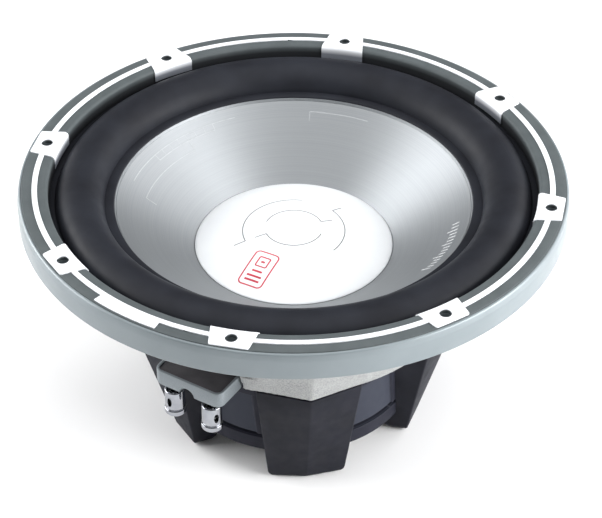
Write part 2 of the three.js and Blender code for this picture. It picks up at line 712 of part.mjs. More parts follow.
// ---- terminal block: shell, cover, two push posts with springs, nuts and lugs --------------
const LEAD_SLOT_X = [-16, 0];
const STEM_HOLE_R = 2.3;

function floorHoles(radius, places, y) {
  return places.map((x) => solid(pin(radius, SHELL_BASE - 1, SHELL_FLOOR_TOP + 1, x, y)));
}

const shell = cutBy(
  solid(slab(
    roundedRect(-SHELL_HALF, SHELL_HALF, SHELL_IN, SHELL_OUT, SHELL_CORNER),
    SHELL_BASE,
    SHELL_TOP - SHELL_BASE,
  )),
  solid(slab(
    roundedRect(-SHELL_HALF + 3.5, SHELL_HALF - 3.5, SHELL_IN + 3, SHELL_OUT - 1.9, 2),
    SHELL_FLOOR_TOP,
    SHELL_TOP,
  )),
  solid(slab(
    roundedRect(-SHELL_HALF + 1.5, SHELL_HALF - 1.5, SHELL_IN + 1.5, SHELL_OUT - 1.5, 3.5),
    SHELL_TOP - COVER_DROP,
    COVER_DROP + 1,
  )),
  solid(crossPin(NOTCH_R, SHELL_OUT - 4.5, SHELL_OUT + 1, 0, SHELL_BASE)),
  solid(block(...LEAD_SLOT_X, SHELL_IN - 1, SHELL_IN + 4, SHELL_FLOOR_TOP + 0.5, SHELL_FLOOR_TOP + 4)),
  ...floorHoles(STEM_HOLE_R, [-POST_HALF_SPAN, POST_HALF_SPAN], POST_AT),
  ...floorHoles(TERMINAL_SCREW_R + 0.3, TERMINAL_SCREWS, TERMINAL_SCREW_AT),
);
addPart('terminal_shell', shell, silverPaint, TERMINAL_DEG);
addPart('terminal_cover', slab(
  roundedRect(-SHELL_HALF + 1.8, SHELL_HALF - 1.8, SHELL_IN + 1.8, SHELL_OUT - 1.8, 3.2),
  SHELL_TOP - COVER_DROP,
  COVER_THICK,
), blackPlastic, TERMINAL_DEG);

TERMINAL_SCREWS.forEach((x, i) => {
  const screw = turned([
    [0, TAB_BASE + 3],
    [TERMINAL_SCREW_R, TAB_BASE + 3],
    [TERMINAL_SCREW_R, SHELL_FLOOR_TOP],
    [TERMINAL_SCREW_R * 1.5, SHELL_FLOOR_TOP],
    [TERMINAL_SCREW_R * 1.5, SHELL_FLOOR_TOP + 2],
    [0, SHELL_FLOOR_TOP + 2],
  ], SMALL_SEGMENTS);
  screw.translate(x, TERMINAL_SCREW_AT, 0);
  addPart(`terminal_screw_${i + 1}`, screw, zincSteel, TERMINAL_DEG);
});

const POST_SEGMENTS = 12;
const WIRE_HOLE_Z = 70.5;
const STEM_R = 2.35;
const STEM_TOP_R = 4.9;          // the stem widens to this under the shell
const THREAD_R = 1.95;
const LUG_THICK = 0.75;
const LUG_HOLE_R = 2.2;
const NUT_BASE = SHELL_FLOOR_TOP + LUG_THICK;
const NUT_THICK = 3;
const SLEEVE_FLOOR = 3.5;        // solid bottom of the push sleeve
const SLEEVE_BORE_R = 4.4;
const SPRING_R = 3.4;
const SPRING_WIRE_R = 0.35;
const SPRING_TURNS = 4;

class Helix extends THREE.Curve {
  constructor(radius, z0, z1, turns) {
    super();
    Object.assign(this, { radius, z0, z1, turns });
  }

  getPoint(t, target = new THREE.Vector3()) {
    const angle = t * this.turns * 2 * Math.PI;
    return target.set(
      this.radius * Math.cos(angle),
      this.radius * Math.sin(angle),
      THREE.MathUtils.lerp(this.z0, this.z1, t),
    );
  }
}

function circlePoints(radius, sides) {
  return Array.from({ length: sides }, (_, i) => around(radius, (i * 360) / sides));
}

function wire(path, radius, sides, steps) {
  const section = polygon(circlePoints(radius, sides));
  return new THREE.ExtrudeGeometry(section, { steps, extrudePath: path, bevelEnabled: false });
}

const CONE_JOIN_R = 41;          // where the leads meet the cone
const leadEnd = coneFaceZ(CONE_JOIN_R) - 4.2;
const LEAD_R = 1.1;
const LEAD_STARTS = [-13, -3];
[-1, 1].forEach((side, i) => {
  const n = i + 1;
  const x = side * POST_HALF_SPAN;
  const stem = solid(turned([
    [0, POST_BASE + 7],
    [STEM_R, POST_BASE + 7],
    [STEM_R, POST_TOP],
    [STEM_TOP_R, SHELL_BASE],
    [THREAD_R, SHELL_BASE],
    [THREAD_R, NUT_BASE + NUT_THICK + 0.85],
    [0, NUT_BASE + NUT_THICK + 0.85],
  ], POST_SEGMENTS));
  const stemPart = cutBy(stem, solid(crossPin(1, -4, 4, 0, WIRE_HOLE_Z, 8)));
  const sleeve = solid(turned([
    [0, POST_BASE],
    [5.9, POST_BASE],
    [6.25, POST_BASE + 0.7],
    [6.25, POST_BASE + 3.2],
    [5.4, POST_BASE + 3.8],
    [5.4, POST_BASE + 4.3],
    [5.8, POST_BASE + 4.8],
    [5.65, POST_TOP - 0.5],
    [5.2, POST_TOP],
    [SLEEVE_BORE_R, POST_TOP],
    [SLEEVE_BORE_R, POST_BASE + SLEEVE_FLOOR],
    [0, POST_BASE + SLEEVE_FLOOR],
  ], POST_SEGMENTS));
  const sleevePart = cutBy(sleeve, solid(crossPin(1.5, -8, 8, 0, WIRE_HOLE_Z, 10)));
  const coils = new Helix(SPRING_R, POST_BASE + SLEEVE_FLOOR + 0.5, POST_TOP - 0.4, SPRING_TURNS);
  const spring = wire(coils, SPRING_WIRE_R, 4, SPRING_TURNS * 9);
  const studHole = solid(pin(LUG_HOLE_R, SHELL_BASE, NUT_BASE + NUT_THICK + 1));
  const nut = solid(slab(polygon(circlePoints(4, 6)), NUT_BASE, NUT_THICK)).subtract(studHole);
  const lug = joined(
    solid(pin(3.4, SHELL_FLOOR_TOP, NUT_BASE)),
    solid(block(-1.6, 1.6, -8.5, 0, SHELL_FLOOR_TOP, NUT_BASE)),
  ).subtract(studHole);
  for (const [name, shape, material] of [
    ['post_stem', stemPart, chrome],
    ['post_sleeve', sleevePart, chrome],
    ['post_spring', solid(spring), springSteel],
    ['post_nut', nut, zincSteel],
    ['solder_lug', lug, zincSteel],
  ]) {
    addPart(`${name}_${n}`, shape.translate([x, POST_AT, 0]), material, TERMINAL_DEG);
  }
  const startX = LEAD_STARTS[i];
  const route = new THREE.CatmullRomCurve3([
    new THREE.Vector3(startX, 91, SHELL_FLOOR_TOP + 2.2),
    new THREE.Vector3(startX, 86, SHELL_FLOOR_TOP + 2.6),
    new THREE.Vector3(startX * 0.9, 78, 91),
    new THREE.Vector3(startX * 0.85, 70, 98),
    new THREE.Vector3(startX * 0.8, 60, 101.5),
    new THREE.Vector3(startX * 0.75, 50, 100.5),
    new THREE.Vector3(startX * 0.7, CONE_JOIN_R, leadEnd),
  ]);
  addPart(`tinsel_lead_${n}`, wire(route, LEAD_R, 6, 16), silverBraid, TERMINAL_DEG);
});

export default driver;
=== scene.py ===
import math
import bmesh
import bpy
from mathutils import Matrix, Vector


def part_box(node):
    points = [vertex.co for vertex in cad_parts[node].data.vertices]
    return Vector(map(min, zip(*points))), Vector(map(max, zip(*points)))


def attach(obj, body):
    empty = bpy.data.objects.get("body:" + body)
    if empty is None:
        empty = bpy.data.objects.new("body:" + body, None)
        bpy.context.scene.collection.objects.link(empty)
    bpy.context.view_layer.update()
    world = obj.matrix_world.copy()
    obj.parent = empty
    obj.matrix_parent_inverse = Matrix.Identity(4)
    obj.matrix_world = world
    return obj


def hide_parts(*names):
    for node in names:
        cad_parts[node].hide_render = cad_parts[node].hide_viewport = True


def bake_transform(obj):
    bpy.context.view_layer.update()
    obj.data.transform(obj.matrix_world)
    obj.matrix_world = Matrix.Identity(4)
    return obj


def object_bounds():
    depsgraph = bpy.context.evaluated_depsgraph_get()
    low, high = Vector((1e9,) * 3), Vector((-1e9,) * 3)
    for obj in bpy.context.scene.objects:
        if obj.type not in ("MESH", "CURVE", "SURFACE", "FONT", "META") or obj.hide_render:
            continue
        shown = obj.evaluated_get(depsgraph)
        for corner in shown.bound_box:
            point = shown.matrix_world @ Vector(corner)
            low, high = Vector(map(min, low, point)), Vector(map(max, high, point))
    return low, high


# The looks of a 12-inch car subwoofer that stands on the feet of its magnet boot.
# Shapes are drawn in millimetres and written to the meshes in metres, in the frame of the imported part.
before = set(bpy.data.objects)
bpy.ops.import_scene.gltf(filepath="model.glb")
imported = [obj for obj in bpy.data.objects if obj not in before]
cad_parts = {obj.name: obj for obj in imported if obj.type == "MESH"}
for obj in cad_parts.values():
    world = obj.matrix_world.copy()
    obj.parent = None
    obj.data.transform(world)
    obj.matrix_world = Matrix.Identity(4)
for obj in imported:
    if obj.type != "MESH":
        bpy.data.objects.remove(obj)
cad_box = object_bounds()

MM = 0.001
SCENE = bpy.context.scene


def node_box(name):
    """A CAD node's lowest and highest corners, in millimetres."""
    low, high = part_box(name)
    return low / MM, high / MM


def heights(name):
    """How high a CAD node's bottom and top are, in millimetres."""
    low, high = node_box(name)
    return low.z, high.z


# ---- driving dimensions, from the frame where it has them ----
RIM_BASE = node_box("trim_bezel")[0].z
RIM_R = node_box("trim_bezel")[1].x
GASKET_TOP = node_box("gasket")[1].z
INLAY_TOP = node_box("inlay_ring")[1].z
FLANGE_TOP = node_box("basket")[1].z
DRUM_BASE, DRUM_TOP = heights("boot_drum")
DRUM_R = node_box("boot_drum")[1].x
LEG_TOP = node_box("boot_leg_1")[1].z
MOTOR_R = node_box("magnet_front")[1].x
HUB_BASE = node_box("top_plate")[1].z
YOKE_BASE = node_box("yoke")[0].z
SHELF_Z = node_box("spider")[0].z

LEG_COUNT = 5
FIRST_LEG_DEG = -84.4
BOLT_COUNT = 8
FIRST_BOLT_DEG = 77.4
BOLT_CIRCLE_R = 148
BOLT_HOLE_R = 3.4
PANEL_DEPTH = 1.2
TERMINAL_DEG = -122

LEG_DEGREES = [FIRST_LEG_DEG + i * 360 / LEG_COUNT for i in range(LEG_COUNT)]
BOLT_DEGREES = [FIRST_BOLT_DEG - i * 360 / BOLT_COUNT for i in range(BOLT_COUNT)]
FINE = 256      # sides of a large round piece
SMALL = 48      # sides of a small one


# ---- meshes ----
def around(radius, degrees, z=0.0):
    angle = math.radians(degrees)
    return Vector((radius * math.cos(angle), radius * math.sin(angle), z))


def lerp(a, b, t):
    return a + (b - a) * t


def smoothstep(low, high, x):
    t = min(1.0, max(0.0, (x - low) / (high - low)))
    return t * t * (3 - 2 * t)


def shade(obj, sharp_deg=32):
    obj.data.shade_smooth()
    obj.data.set_sharp_from_angle(angle=math.radians(sharp_deg))


def add_object(name, data):
    obj = bpy.data.objects.new(name, data)
    SCENE.collection.objects.link(obj)
    return obj


def mesh_object(name, corners, faces, material, sharp_deg=32):
    """A closed mesh from corners in millimetres, with its faces turned outwards."""
    mesh = bpy.data.meshes.new(name)
    mesh.from_pydata([Vector(c) * MM for c in corners], [], faces)
    work = bmesh.new()
    work.from_mesh(mesh)
    bmesh.ops.recalc_face_normals(work, faces=work.faces)
    work.to_mesh(mesh)
    work.free()
    obj = add_object(name, mesh)
    mesh.materials.append(material)
    shade(obj, sharp_deg)
    return obj


def rect(x0, x1, y0, y1, *radius):
    """A rectangle's corners, each with the same radius if one is given."""
    return [(x, y, *radius) for x, y in ((x0, y0), (x1, y0), (x1, y1), (x0, y1))]


def filleted(corners, step_deg=12, arc_steps=0):
    """An outline whose corners (a, b, radius) are rounded by arcs; a corner without a radius stays sharp."""
    points = []
    count = len(corners)
    for i, corner in enumerate(corners):
        here = Vector(corner[:2])
        radius = corner[2] if len(corner) > 2 else 0
        if radius <= 0:
            points.append(tuple(here))
            continue
        before = (Vector(corners[i - 1][:2]) - here).normalized()
        after = (Vector(corners[(i + 1) % count][:2]) - here).normalized()
        opening = before.angle(after)
        if opening > math.pi - 1e-3:
            points.append(tuple(here))
            continue
        centre = here + (before + after).normalized() * (radius / math.sin(opening / 2))
        start = here + before * (radius / math.tan(opening / 2)) - centre
        sweep = math.pi - opening
        if before.x * after.y - before.y * after.x > 0:
            sweep = -sweep
        steps = arc_steps or max(2, math.ceil(abs(math.degrees(sweep)) / step_deg))
        for k in range(steps + 1):
            points.append(tuple(centre + Matrix.Rotation(sweep * k / steps, 2) @ start))
    return points


def turned(name, outline, material, segments=FINE, centre=(0, 0), reshape=None, sharp_deg=32):
    """A solid of revolution about Z. An outline that starts and ends at radius 0 is closed on the axis."""
    on_axis = outline[0][0] == 0 and outline[-1][0] == 0
    ring = outline[1:-1] if on_axis else outline
    corners = []
    for s in range(segments):
        angle = 2 * math.pi * s / segments
        for r, z in ring:
            if reshape:
                r = reshape(math.degrees(angle), r, z)
            corners.append((centre[0] + r * math.cos(angle), centre[1] + r * math.sin(angle), z))
    count = len(ring)
    faces = []
    for s in range(segments):
        here, there = s * count, ((s + 1) % segments) * count
        last = count - 1 if on_axis else count
        for i in range(last):
            j = (i + 1) % count
            faces.append((here + i, there + i, there + j, here + j))
    if on_axis:
        for row, (_, z) in ((0, outline[0]), (count - 1, outline[-1])):
            corners.append((centre[0], centre[1], z))
            tip = len(corners) - 1
            faces += [(s * count + row, ((s + 1) % segments) * count + row, tip) for s in range(segments)]
    return mesh_object(name, corners, faces, material, sharp_deg)


def loft(name, sections, material, sharp_deg=32):
    """A skin through closed sections with the same number of corners, capped at both ends."""
    count = len(sections[0])
    corners = [c for section in sections for c in section]
    faces = []
    for s in range(len(sections) - 1):
        for i in range(count):
            j = (i + 1) % count
            faces.append((s * count + i, s * count + j, (s + 1) * count + j, (s + 1) * count + i))
    faces.append(tuple(range(count)))
    faces.append(tuple(range(len(corners) - count, len(corners))))
    return mesh_object(name, corners, faces, material, sharp_deg)


def slab(name, outline, base, top, material, bevel=0.0):
    """A flat outline raised from one height to another, with its top edge rounded by a bevel."""
    obj = loft(name, [[(x, y, z) for x, y in outline] for z in (base, top)], material)
    if bevel:
        round_edges(obj, bevel)
    return obj


def settle(obj):
    """Applies an object's modifiers."""
    depsgraph = bpy.context.evaluated_depsgraph_get()
    mesh = bpy.data.meshes.new_from_object(obj.evaluated_get(depsgraph))
    old = obj.data
    obj.modifiers.clear()
    obj.data = mesh
    bpy.data.meshes.remove(old)


def round_edges(obj, width, segments=2, limit_deg=35):
    bevel = obj.modifiers.new("bevel", "BEVEL")
    bevel.width = width * MM
    bevel.segments = segments
    bevel.limit_method = "ANGLE"
    bevel.angle_limit = math.radians(limit_deg)
    settle(obj)
    shade(obj, 40)


def combine(obj, tools, operation):
    """Joins the tools to an object, cuts them from it, or keeps only what they share."""
    for tool in tools:
        boolean = obj.modifiers.new("boolean", "BOOLEAN")
        boolean.operation = operation
        boolean.solver = "EXACT"
        boolean.object = tool
        settle(obj)
        bpy.data.objects.remove(tool)
    shade(obj)
    return obj


def paint(obj, material):
    """Leaves an object with one material, whatever its tools brought in."""
    obj.data.materials.clear()
    obj.data.materials.append(material)


def cut(obj, tools):
    return combine(obj, tools, "DIFFERENCE")


def face_out(obj, degrees):
    """Turns an object drawn with its local Y axis pointing away from the driver's axis."""
    obj.data.transform(Matrix.Rotation(math.radians(degrees - 90), 4, "Z"))
    return obj


def pin(radius, base, top, x=0.0, y=0.0, segments=SMALL):
    return turned("tool", rect(0, radius, base, top), TOOL, segments, (x, y))


def bolt_pins(radius, base, top):
    return [pin(radius, base, top, *around(BOLT_CIRCLE_R, d).xy) for d in BOLT_DEGREES]


def place(obj, body, slot, *nodes):
    """Makes a piece ride on a body and stand for its CAD nodes; the slot is not used."""
    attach(obj, body)
    if nodes:
        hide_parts(*nodes)
    return obj


# ---- materials ----
def srgb(red, green, blue):
    def linear(value):
        value /= 255
        return value / 12.92 if value <= 0.04045 else ((value + 0.055) / 1.055) ** 2.4

    return (linear(red), linear(green), linear(blue), 1.0)


class Surface:
    """A material whose Principled shader is fed by procedural nodes."""

    def __init__(self, name, **constants):
        self.material = bpy.data.materials.new(name)
        self.material.use_nodes = True
        self.tree = self.material.node_tree
        self.shader = self.tree.nodes["Principled BSDF"]
        for socket, value in constants.items():
            self.shader.inputs[socket.replace("_", " ")].default_value = value
        self.place = self.node("ShaderNodeTexCoord").outputs["Object"]
        self.height = None

    def node(self, kind, inputs=None, **settings):
        made = self.tree.nodes.new(kind)
        for key, value in settings.items():
            setattr(made, key, value)
        for key, value in (inputs or {}).items():
            if isinstance(value, bpy.types.NodeSocket):
                self.tree.links.new(value, made.inputs[key])
            else:
                made.inputs[key].default_value = value
        return made

    def link(self, output, socket):
        self.tree.links.new(output, self.shader.inputs[socket])

    def math(self, operation, a, b=0.0):
        return self.node("ShaderNodeMath", {0: a, 1: b}, operation=operation).outputs[0]

    def stretched(self, x, y, z):
        """Object coordinates with each axis scaled, to draw noise out into lines."""
        mapping = self.node("ShaderNodeMapping", {"Vector": self.place, "Scale": (x, y, z)})
        return mapping.outputs[0]

    def radius(self):
        """Distance from the driver's axis."""
        flat = self.node("ShaderNodeVectorMath", {0: self.place, 1: (1, 1, 0)}, operation="MULTIPLY")
        length = self.node("ShaderNodeVectorMath", {0: flat.outputs[0]}, operation="LENGTH")
        return length.outputs["Value"]

    def noise(self, features_mm, detail=3.0, roughness=0.5, vector=None):
        """Noise from 0 to 1 whose features are about so many millimetres wide."""
        inputs = {"Vector": vector or self.place, "Scale": 1 / (features_mm * MM)}
        inputs.update({"Detail": detail, "Roughness": roughness})
        return self.node("ShaderNodeTexNoise", inputs).outputs["Fac"]

    def rings(self, features_mm, along):
        """Noise that varies only with one distance, as turned or wound surfaces do."""
        inputs = {"W": along, "Scale": 1 / (features_mm * MM), "Detail": 2.0}
        return self.node("ShaderNodeTexNoise", inputs, noise_dimensions="1D").outputs["Fac"]

    def spread(self, value, low=0.0, high=1.0, at=(0.3, 0.7)):
        """Maps a noise onto the range from low to high."""
        inputs = {"Value": value, "From Min": at[0], "From Max": at[1], "To Min": low, "To Max": high}
        return self.node("ShaderNodeMapRange", inputs).outputs[0]

    def between(self, first, second, amount):
        """A colour between two, or between a colour and another node's colour."""
        inputs = {0: amount, 6: first, 7: second}
        return self.node("ShaderNodeMix", inputs, data_type="RGBA").outputs[2]

    def tint(self, first, second, amount):
        self.link(self.between(first, second, amount), "Base Color")

    def gloss(self, value, low, high, at=(0.3, 0.7)):
        """Lets the roughness follow a noise, from low to high."""
        self.link(self.spread(value, low, high, at), "Roughness")

    def wave(self, distance, pitch_mm):
        """A sine wave that repeats every so many millimetres."""
        return self.math("SINE", self.math("MULTIPLY", distance, 2 * math.pi / (pitch_mm * MM)))

    def painted_shade_below(self, colour, deep, top_mm, bottom_mm):
        """A colour that turns to a darker one between two heights, as painted shade."""
        z = self.node("ShaderNodeSeparateXYZ", {0: self.place}).outputs["Z"]
        return self.between(deep, colour, self.spread(z, at=(bottom_mm * MM, top_mm * MM)))

    def edges(self, low=0.52, high=0.62):
        """1 along raised edges and 0 elsewhere."""
        pointy = self.node("ShaderNodeNewGeometry").outputs["Pointiness"]
        return self.spread(pointy, at=(low, high))

    def bump(self, height, distance_mm):
        """Adds a relief whose whole height is so many millimetres."""
        inputs = {"Height": height, "Distance": distance_mm * MM, "Strength": 1.0}
        made = self.node("ShaderNodeBump", inputs)
        if self.height is not None:
            self.tree.links.new(self.height, made.inputs["Normal"])
        self.height = made.outputs[0]
        self.link(self.height, "Normal")


def plain_surface(name, dark, light, roughness, patch_mm, grain_mm, grain_height, swing=0.05, **constants):
    """A finish with patchy colour, a gloss that swings a little either way and a fine grain."""
    s = Surface(name, **constants)
    s.tint(dark, light, s.spread(s.noise(patch_mm)))
    s.gloss(s.noise(patch_mm * 0.4, 4), roughness - swing, roughness + swing)
    s.bump(s.noise(grain_mm, 2), grain_height)
    return s


def cast_metal():
    """Bead-blasted cast aluminium: bright grains over a slightly cloudy base."""
    s = Surface("cast_metal", Metallic=0.3, Specular_IOR_Level=0.5)
    cloud = s.spread(s.noise(14, 3))
    base = s.between(srgb(124, 126, 127), srgb(146, 148, 148), cloud)
    grain = s.spread(s.noise(0.8, 3, 0.6), at=(0.38, 0.66))
    speckled = s.between(base, srgb(170, 171, 170), grain)
    s.tint(speckled, srgb(184, 185, 185), s.edges(0.53, 0.64))
    s.gloss(s.noise(1.1, 3), 0.42, 0.62)
    s.bump(s.noise(0.9, 3, 0.6), 0.10)
    return s.material


def silver_paint():
    s = plain_surface("silver_paint", srgb(117, 126, 130), srgb(125, 134, 138), 0.36, 30, 0.6, 0.006,
                      Metallic=0.15)
    s.shader.inputs["Coat Weight"].default_value = 0.15
    s.shader.inputs["Coat Roughness"].default_value = 0.25
    return s.material


def paint_rim_shade(s, deep):
    """Paints shade into a rim finish: its colour darkens down the rim's inner wall."""
    top = s.shader.inputs["Base Color"].links[0].from_socket
    s.link(s.painted_shade_below(top, deep, GASKET_TOP - 1.2, GASKET_TOP - 5), "Base Color")
    return s.material


def grey_rubber():
    s = plain_surface("grey_rubber", srgb(74, 80, 82), srgb(82, 88, 90), 0.62, 12, 0.35, 0.02,
                      Specular_IOR_Level=0.25)
    # The deep colour is painted shade on the gasket's inner wall.
    return paint_rim_shade(s, srgb(34, 36, 39))


def white_plastic():
    s = plain_surface("white_plastic", srgb(230, 233, 237), srgb(237, 239, 243), 0.38, 20, 0.5, 0.006)
    # The deep colour is painted shade where the inlay runs down the inner wall.
    return paint_rim_shade(s, srgb(118, 122, 130))


def black_rubber():
    """Butyl rubber of the roll: satin, with very faint moulding rings."""
    s = Surface("black_rubber", Specular_IOR_Level=0.12)
    s.tint(srgb(30, 31, 36), srgb(39, 41, 47), s.spread(s.noise(25)))
    s.gloss(s.noise(8, 4), 0.44, 0.54)
    s.bump(s.noise(0.45, 3), 0.012)
    s.bump(s.rings(1.6, s.radius()), 0.012)
    return s.material


def boot_rubber(name, dark, light, panel=None):
    """Moulded rubber, paler along its edges and, with a panel colour, on the drum's panels."""
    s = Surface(name, Specular_IOR_Level=0.15)
    base = s.between(dark, light, s.spread(s.noise(18)))
    if panel:
        panel_r = DRUM_R - PANEL_DEPTH
        inside = s.spread(s.radius(), 1.0, 0.0, ((panel_r + 0.1) * MM, (panel_r + 0.5) * MM))
        above_groove = s.spread(s.radius(), at=((panel_r - 0.4) * MM, (panel_r - 0.1) * MM))
        base = s.between(base, panel, s.math("MULTIPLY", inside, above_groove))
    s.tint(base, srgb(62, 64, 71), s.edges(0.54, 0.68))
    s.gloss(s.noise(6, 4), 0.50, 0.62)
    s.bump(s.noise(0.4, 3), 0.02)
    return s.material


def spun_metal():
    """Satin cone metal, turned in fine circles, so that its gloss runs across them."""
    s = Surface("spun_metal", Metallic=0.9, Anisotropic=0.55)
    r = s.radius()
    fine = s.rings(0.35, r)
    coarse = s.rings(2.4, r)
    tone = s.math("ADD", s.math("MULTIPLY", fine, 0.75), s.math("MULTIPLY", coarse, 0.25))
    s.tint(srgb(156, 160, 163), srgb(166, 169, 172), s.spread(tone))
    satin = s.math("ADD", fine, s.math("MULTIPLY", s.noise(20), 0.5))
    s.gloss(satin, 0.51, 0.56, (0.4, 1.0))
    s.bump(fine, 0.004)
    tangent = s.node("ShaderNodeTangent", direction_type="RADIAL", axis="Z")
    s.link(tangent.outputs[0], "Tangent")
    s.shader.inputs["Anisotropic Rotation"].default_value = 0.25
    return s.material


def brushed_shell():
    """Silver terminal shell, brushed along its length."""
    s = Surface("brushed_shell", Metallic=0.35)
    lines = s.noise(0.5, 4, 0.6, s.stretched(1, 1, 6))
    s.tint(srgb(104, 111, 116), srgb(136, 143, 147), s.spread(lines))
    s.gloss(lines, 0.36, 0.52)
    s.bump(lines, 0.02)
    return s.material


def chrome_plate():
    s = Surface("chrome_plate", Metallic=1.0)
    s.tint(srgb(146, 148, 154), srgb(162, 164, 169), s.spread(s.noise(6)))
    s.gloss(s.noise(3, 4), 0.05, 0.12)
    s.bump(s.noise(1.2, 2), 0.004)
    return s.material


def zinc_plate():
    """Zinc-plated steel, faintly turned and a little stained."""
    s = Surface("zinc_plate", Metallic=1.0)
    lines = s.rings(0.4, s.radius())
    tone = s.between(srgb(150, 152, 152), srgb(186, 188, 190), s.spread(lines))
    s.tint(tone, srgb(166, 160, 146), s.spread(s.noise(9), 0.0, 0.5))
    s.gloss(lines, 0.28, 0.42)
    s.bump(lines, 0.006)
    return s.material


def copper_winding():
    """Enamelled copper wire, wound in close turns."""
    s = Surface("copper_winding", Metallic=1.0)
    z = s.node("ShaderNodeSeparateXYZ", {0: s.place}).outputs["Z"]
    turns = s.wave(z, 0.6)
    s.tint(srgb(140, 74, 36), srgb(206, 128, 78), s.spread(turns, at=(-1, 1)))
    s.gloss(s.noise(4), 0.28, 0.42)
    s.bump(turns, 0.06)
    return s.material


def spider_cloth():
    """Resin-dipped woven cotton."""
    s = Surface("spider_cloth", Sheen_Weight=0.3, Sheen_Roughness=0.6)
    axes = s.node("ShaderNodeSeparateXYZ", {0: s.place})
    weave = s.math("MAXIMUM", s.wave(axes.outputs["X"], 0.9), s.wave(axes.outputs["Y"], 0.9))
    tone = s.between(srgb(150, 112, 52), srgb(206, 172, 106), s.spread(weave, at=(-1, 1)))
    s.tint(tone, srgb(176, 134, 66), s.spread(s.noise(7), 0.0, 0.7))
    s.gloss(s.noise(3), 0.7, 0.9)
    s.bump(weave, 0.12)
    return s.material


def silver_braid():
    """Tinsel braid: strands crossing on the slant."""
    s = Surface("silver_braid", Metallic=0.7)
    axes = s.node("ShaderNodeSeparateXYZ", {0: s.place})
    rise = s.math("ADD", axes.outputs["X"], axes.outputs["Z"])
    fall = s.math("SUBTRACT", axes.outputs["Y"], axes.outputs["Z"])
    strands = s.math("MAXIMUM", s.wave(rise, 0.8), s.wave(fall, 0.8))
    s.tint(srgb(120, 112, 98), srgb(214, 208, 196), s.spread(strands, at=(-1, 1)))
    s.gloss(s.noise(2), 0.35, 0.5)
    s.bump(strands, 0.15)
    return s.material


def ink_and_painted_shade(name, colour, roughness=0.5):
    """Thin printed ink, a little uneven in tone; the same finish also serves for painted groove shade."""
    dark = tuple(c * 0.8 for c in colour[:3]) + (1.0,)
    return plain_surface(name, dark, colour, roughness, 3, 0.4, 0.004).material


TOOL = bpy.data.materials.new("tool")
CAST = cast_metal()
SILVER = silver_paint()
GASKET = grey_rubber()
INLAY = white_plastic()
RUBBER = black_rubber()
BOOT = boot_rubber("boot_rubber", srgb(30, 31, 40), srgb(37, 38, 48), srgb(50, 53, 63))
# The legs are the boot's own rubber, made darker here as painted shade on the legs.
SHADED_LEG_RUBBER = boot_rubber("leg_rubber_shaded", srgb(22, 23, 30), srgb(28, 29, 38))
CONE = spun_metal()
CAP = plain_surface("cap_plastic", srgb(231, 234, 237), srgb(235, 238, 240), 0.34, 25, 0.6, 0.004,
                    swing=0.02).material
SHELL = brushed_shell()
CHROME = chrome_plate()
ZINC = zinc_plate()
FERRITE = plain_surface("sintered_ferrite", srgb(38, 38, 41), srgb(58, 58, 61), 0.72, 5, 0.5, 0.05).material
COVER = plain_surface("black_plastic", srgb(52, 50, 54), srgb(66, 63, 66), 0.55, 8, 0.5, 0.03).material
COPPER = copper_winding()
FORMER = plain_surface("brown_film", srgb(112, 66, 32), srgb(136, 84, 44), 0.4, 10, 0.8, 0.01).material
CLOTH = spider_cloth()
BRAID = silver_braid()
GREY_INK = ink_and_painted_shade("grey_ink", srgb(180, 183, 186))
PALE_INK = ink_and_painted_shade("pale_ink", srgb(226, 228, 230))
RED_INK = ink_and_painted_shade("red_ink", srgb(196, 40, 66))
# Grey lines of painted shade, standing for the dust cap's debossed grooves.
GROOVE_SHADE_PAINT = ink_and_painted_shade("groove_shade", srgb(112, 114, 117))

# ---- rim: silver trim, grey gasket over it, white inlay on the gasket ----
FLANGE_OUTER_R = 154.5
FLANGE_INNER_R = 134
RIM_INNER_R = 140.5
INLAY_THICK = INLAY_TOP - GASKET_TOP
GASKET_THICK = 2
GASKET_SEAT = GASKET_TOP - GASKET_THICK
GASKET_OUTER_R = 155.6
TRIM_INNER_R = RIM_INNER_R + GASKET_THICK
WALL_BASE = FLANGE_TOP + 1.75
PAD_BASE = GASKET_TOP - 8
PAD_OUT = 155
PAD_HALF_IN = 13.2
PAD_HALF_OUT = 10.6
STRIPE_IN = 146.4
STRIPE_OUT = 149.4
LONG_PAD_DEG = (-133, -118)


def inner_edge(grow, steps=8):
    """The gasket's rounded inner edge, for a skin that stands so far out from the gasket's surface."""
    radius = GASKET_THICK + grow
    points = []
    for i in range(steps + 1):
        angle = math.pi / 2 * i / steps
        points.append((TRIM_INNER_R - radius * math.sin(angle), GASKET_SEAT + radius * math.cos(angle)))
    return points


def make_trim():
    lip = GASKET_OUTER_R + 0.12
    outline = filleted([
        (FLANGE_OUTER_R + 0.8, GASKET_SEAT - 3),
        (FLANGE_OUTER_R + 0.8, RIM_BASE, 0.3),
        (RIM_R, RIM_BASE, 0.9),
        (RIM_R, GASKET_SEAT - 2.4, 6),
        (RIM_R - 0.9, GASKET_TOP - 0.45, 1.3),
        (lip, GASKET_TOP - 0.35, 0.2),
        (lip, GASKET_SEAT),
        (TRIM_INNER_R + 0.05, GASKET_SEAT),
        (TRIM_INNER_R + 0.05, WALL_BASE),
        (TRIM_INNER_R + 2, WALL_BASE),
        (TRIM_INNER_R + 2, GASKET_SEAT - 3),
    ], 10)
    trim = turned("trim_bezel_fine", outline, SILVER)
    cut(trim, bolt_pins(BOLT_HOLE_R, FLANGE_TOP - 1, GASKET_SEAT + 1))
    return place(trim, "frame", "silver_paint", "trim_bezel")


